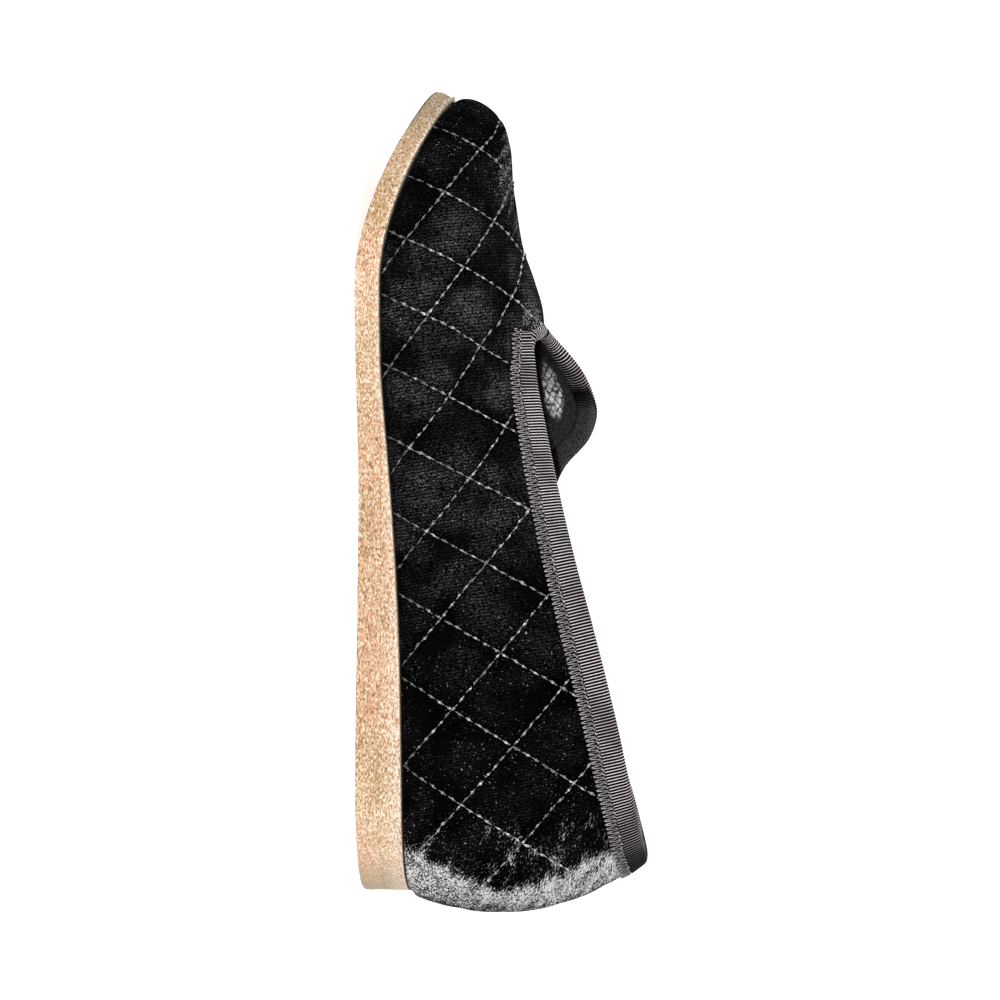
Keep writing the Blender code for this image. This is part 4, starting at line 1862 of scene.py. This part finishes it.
        mesh = sheet_mesh(count, self.loop_sides, place)
        glint = mesh.verts.layers.float.new("glint")
        for vertex in mesh.verts:
            vertex[glint] = shine[vertex.index % (count + 1)]
        close_tube(mesh)
        return mesh


@dataclass
class SoleLayer:
    """A leather or cloth layer with the sole's outline."""

    name: str
    node: str
    slot: str
    bottom: Callable[[Array], Array]
    top: Callable[[Array], Array]
    inset: Callable[[Array], Array]
    to_x: float
    rim: float
    wobble: float
    last: Last = LAST
    steps: int = 170
    across: int = 14
    wall_cuts: int = 3
    rim_segments: int = 3
    rim_angle_deg: float = 50.0
    sharp_angle_deg: float = 60.0
    rim_reach: Span = (1.5, 0.3)
    bare_wedge: Span = (1.0, 0.2)
    ripple_scale: float = 160.0
    toe_round: float = 6.0
    toe_round_x: Span = (104.0, 119.0)
    toe_out: float = 7.0
    toe_out_x: Span = (106.0, 120.0)
    side_on: float = 0.1
    thinnest: float = 0.1

    def rim_share(self, point: Vector) -> float:
        """How near the layer's upper rim a point is, where the upper and not a wedge stands on it.

        Args:
            point: a point of the layer.

        Returns:
            1 at the rim, 0 away from it.
        """
        x, bare = point.x / MM, 1.0
        if self.node == "outsole":
            bare = float(ease(self.last.wedge_rise(x), *self.bare_wedge))
        return bare * float(ease(self.top(x) - point.z / MM, *self.rim_reach))

    def slab(self) -> BMesh:
        """The layer with square edges, its walls standing square to the toe spring.

        Returns:
            The mesh.
        """
        stations = np.linspace(0, self.last.station_at(self.to_x), self.steps + 1)
        inset = self.inset(stations)
        inner, outer = (self.last.outline(stations, side, inset) for side in Side)

        def place(column: int, row: int) -> Vector:
            """Point of the layer's underside."""
            share = row / self.across
            x, y = outer[column] * (1 - share) + inner[column] * share
            return Vector((x, y, float(self.bottom(x)))) * MM

        mesh = sheet_mesh(self.steps, self.across, place)
        bmesh.ops.remove_doubles(mesh, verts=mesh.verts, dist=WELD)
        bmesh.ops.dissolve_degenerate(mesh, edges=mesh.edges, dist=WELD)
        raised = bmesh.ops.extrude_face_region(mesh, geom=mesh.faces[:])["geom"]
        tops = {item for item in raised if isinstance(item, BMVert)}
        for vertex in tops:
            x = vertex.co.x / MM
            angle = self.last.spring_angle(x)
            x -= float((self.top(x) - self.bottom(x)) * np.sin(angle) * np.cos(angle))
            vertex.co.x = x * MM
            vertex.co.z = float(self.top(x)) * MM
        bmesh.ops.recalc_face_normals(mesh, faces=mesh.faces)
        mesh.normal_update()
        standing = [e for e in mesh.edges if (e.verts[0] in tops) != (e.verts[1] in tops)]
        if self.wall_cuts:
            bmesh.ops.subdivide_edges(mesh, edges=standing, cuts=self.wall_cuts, use_grid_fill=True)
        mesh.normal_update()
        return mesh

    def build(self, material: Material) -> Object:
        """Builds the layer with a rounded rim and a hand-finished edge.

        Args:
            material: its finish.

        Returns:
            The piece.
        """
        mesh, steepest = self.slab(), radians(self.rim_angle_deg)
        rims = [e for e in mesh.edges if len(e.link_faces) == 2 and e.calc_face_angle() > steepest]
        bmesh.ops.bevel(
            mesh, geom=rims, offset=self.rim * MM, offset_type="OFFSET", segments=self.rim_segments,
            profile=0.5, affect="EDGES", material=-1, clamp_overlap=True,
        )
        mesh.normal_update()
        shift = Vector((self.last.middle_x, self.last.middle_y, 0)) * MM
        rim_layer = mesh.verts.layers.float.new("rim")
        for vertex in mesh.verts:
            vertex[rim_layer] = self.rim_share(vertex.co)
            side_on = 1 - abs(vertex.normal.z)
            x = vertex.co.x / MM
            low, high = float(self.bottom(x)), float(self.top(x))
            share = (vertex.co.z / MM - low) / max(high - low, self.thinnest) * 2 - 1
            ripple = noise.fractal(vertex.co * self.ripple_scale, 1.0, 2.0, 3) * side_on
            if side_on > self.side_on:
                ripple -= self.toe_round * float(ease(x, *self.toe_round_x)) * min(1.0, share**4)
            level = Vector((vertex.normal.x, vertex.normal.y, 0))
            vertex.co += level * ripple * self.wobble * MM - shift
            vertex.co.x += self.wobble * self.toe_out * float(ease(x, *self.toe_out_x)) * MM
        piece = add_piece(self.name, mesh, material, self.slot)
        piece.data.set_sharp_from_angle(angle=radians(self.sharp_angle_deg))
        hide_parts(self.node)
        return piece


class Lamp(NamedTuple):
    """A soft square light: its name, place, side in metres and power in watts."""

    name: str
    place: Triple
    target: Triple
    size: float
    watts: float


@dataclass
class Studio:
    """Pale floor, soft lights and the camera."""

    floor_half: float = 30.0
    floor_steps: int = 8
    elevation_deg: float = 8.5
    distance: float = 0.750
    aim: Triple = (0.00095, 0.04145, 0.0047)
    roll: float = -0.012
    lens: float = 94.8
    sensor: float = 36.0
    clip_start: float = 0.01
    centre_px: float = 132.0
    image_px: float = 1000.0
    surroundings: float = 1.03
    lamps: tuple[Lamp, ...] = (
        Lamp("key", (0.85, 0.85, 0.55), (0, 0, 0.03), 1.0, 8),
        Lamp("top", (-0.3, -0.5, 1.2), (0, 0, 0.04), 0.9, 3),
    )

    def build_floor(self) -> None:
        """Lays the floor under the shoe."""
        mesh, steps = bmesh.new(), self.floor_steps
        bmesh.ops.create_grid(mesh, x_segments=steps, y_segments=steps, size=self.floor_half)
        data = bpy.data.meshes.new("floor")
        mesh.to_mesh(data)
        data.materials.append(FloorFinish().make())
        floor = bpy.data.objects.new("floor", data)
        bpy.context.scene.collection.objects.link(floor)

    def build_camera(self) -> None:
        """Sets the camera at the photograph's angle, rolled so that the toe points up."""
        tilt = radians(self.elevation_deg)
        back = Vector((0, cos(tilt), sin(tilt)))
        up = Vector((1, 0, 0))
        right = up.cross(back)
        level = right * cos(self.roll) - up * sin(self.roll)
        focal = self.lens / self.sensor * self.image_px
        towards = (-back * focal + level * self.centre_px).normalized()
        right = (level + towards * -level.dot(towards)).normalized()
        data = bpy.data.cameras.new("camera")
        data.lens = self.lens
        data.sensor_width = self.sensor
        data.clip_start = self.clip_start
        camera = bpy.data.objects.new("camera", data)
        turn = Matrix((right, (-towards).cross(right), -towards)).transposed()
        place = Vector(self.aim) + back * self.distance
        camera.matrix_world = Matrix.Translation(place) @ turn.to_4x4()
        bpy.context.scene.collection.objects.link(camera)
        bpy.context.scene.camera = camera

    def build_light(self) -> None:
        """Hangs the lights and sets the surroundings' glow and the plain colour transform."""
        world = bpy.data.worlds.new("surroundings")
        world.use_nodes = True
        glow = world.node_tree.nodes["Background"]
        glow.inputs["Color"].default_value = (1, 1, 1, 1)
        glow.inputs["Strength"].default_value = self.surroundings
        bpy.context.scene.world = world
        for lamp in self.lamps:
            data = bpy.data.lights.new(lamp.name, "AREA")
            data.size = lamp.size
            data.energy = lamp.watts
            light = bpy.data.objects.new(lamp.name, data)
            light.location = lamp.place
            way = Vector(lamp.target) - Vector(lamp.place)
            light.rotation_euler = way.to_track_quat("-Z", "Y").to_euler()
            bpy.context.scene.collection.objects.link(light)
        bpy.context.scene.view_settings.view_transform = "Standard"


def build_soles() -> None:
    """Builds the outsole, the heel wedge and the insole."""
    insole_thick, into_wall, wedge_off, wedge_over, wedge_short = 2.2, 0.3, 0.04, 0.08, 1.0

    def feather(stations: Array) -> Array:
        """How far in from the sole's edge the insole's edge lies, a little way into the wall."""
        return curve(PLAN, "feather_in", stations) + LAST.wall - into_wall

    def wedge_top(x: Array) -> Array:
        """Height of the wedge's upper face."""
        return LAST.outsole_top(x) + LAST.wedge_rise(x) + wedge_over

    SoleLayer(
        "tan_outsole", "outsole", "outsole_leather", LAST.ground, LAST.outsole_top, np.zeros_like,
        to_x=LAST.toe_tip_x, rim=1.2, wobble=0.22,
    ).build(SuedeFinish("tan_suede").make())
    SoleLayer(
        "tan_wedge", "heel_wedge", "wedge_leather", lambda x: LAST.outsole_top(x) + wedge_off,
        wedge_top, np.zeros_like, to_x=LAST.wedge_end_x - wedge_short, rim=0.0, wobble=0.16,
        wall_cuts=0,
    ).build(SuedeFinish("tan_wedge_suede").make())
    SoleLayer(
        "cloth_insole", "insole", "insole_cloth", LAST.seat, lambda x: LAST.seat(x) + insole_thick,
        feather, to_x=LAST.toe_tip_x, rim=0.6, wobble=0.1, wall_cuts=0,
    ).build(InsoleFinish().make())


def main() -> None:
    """Builds the pieces in order."""
    logging.basicConfig(level=logging.INFO, format="%(name)s %(message)s")
    studio = Studio()
    studio.build_camera()
    studio.build_floor()
    studio.build_light()
    build_soles()
    silver = ThreadFinish("silver_thread", (0.78, 0.78, 0.77), (0.026, 0.026, 0.026))
    dusky = ThreadFinish("dusky_thread", (0.68, 0.61, 0.62), (0.030, 0.026, 0.028))
    upper = Upper()
    upper.build_velvet(VelvetFinish().make())
    upper.build_lining(LiningFinish().make())
    upper.build_stitches(silver.make())
    RibbonBinding().build(upper.surface, RibbonFinish().make(), dusky.make())


if __name__ == "__main__":
    main()
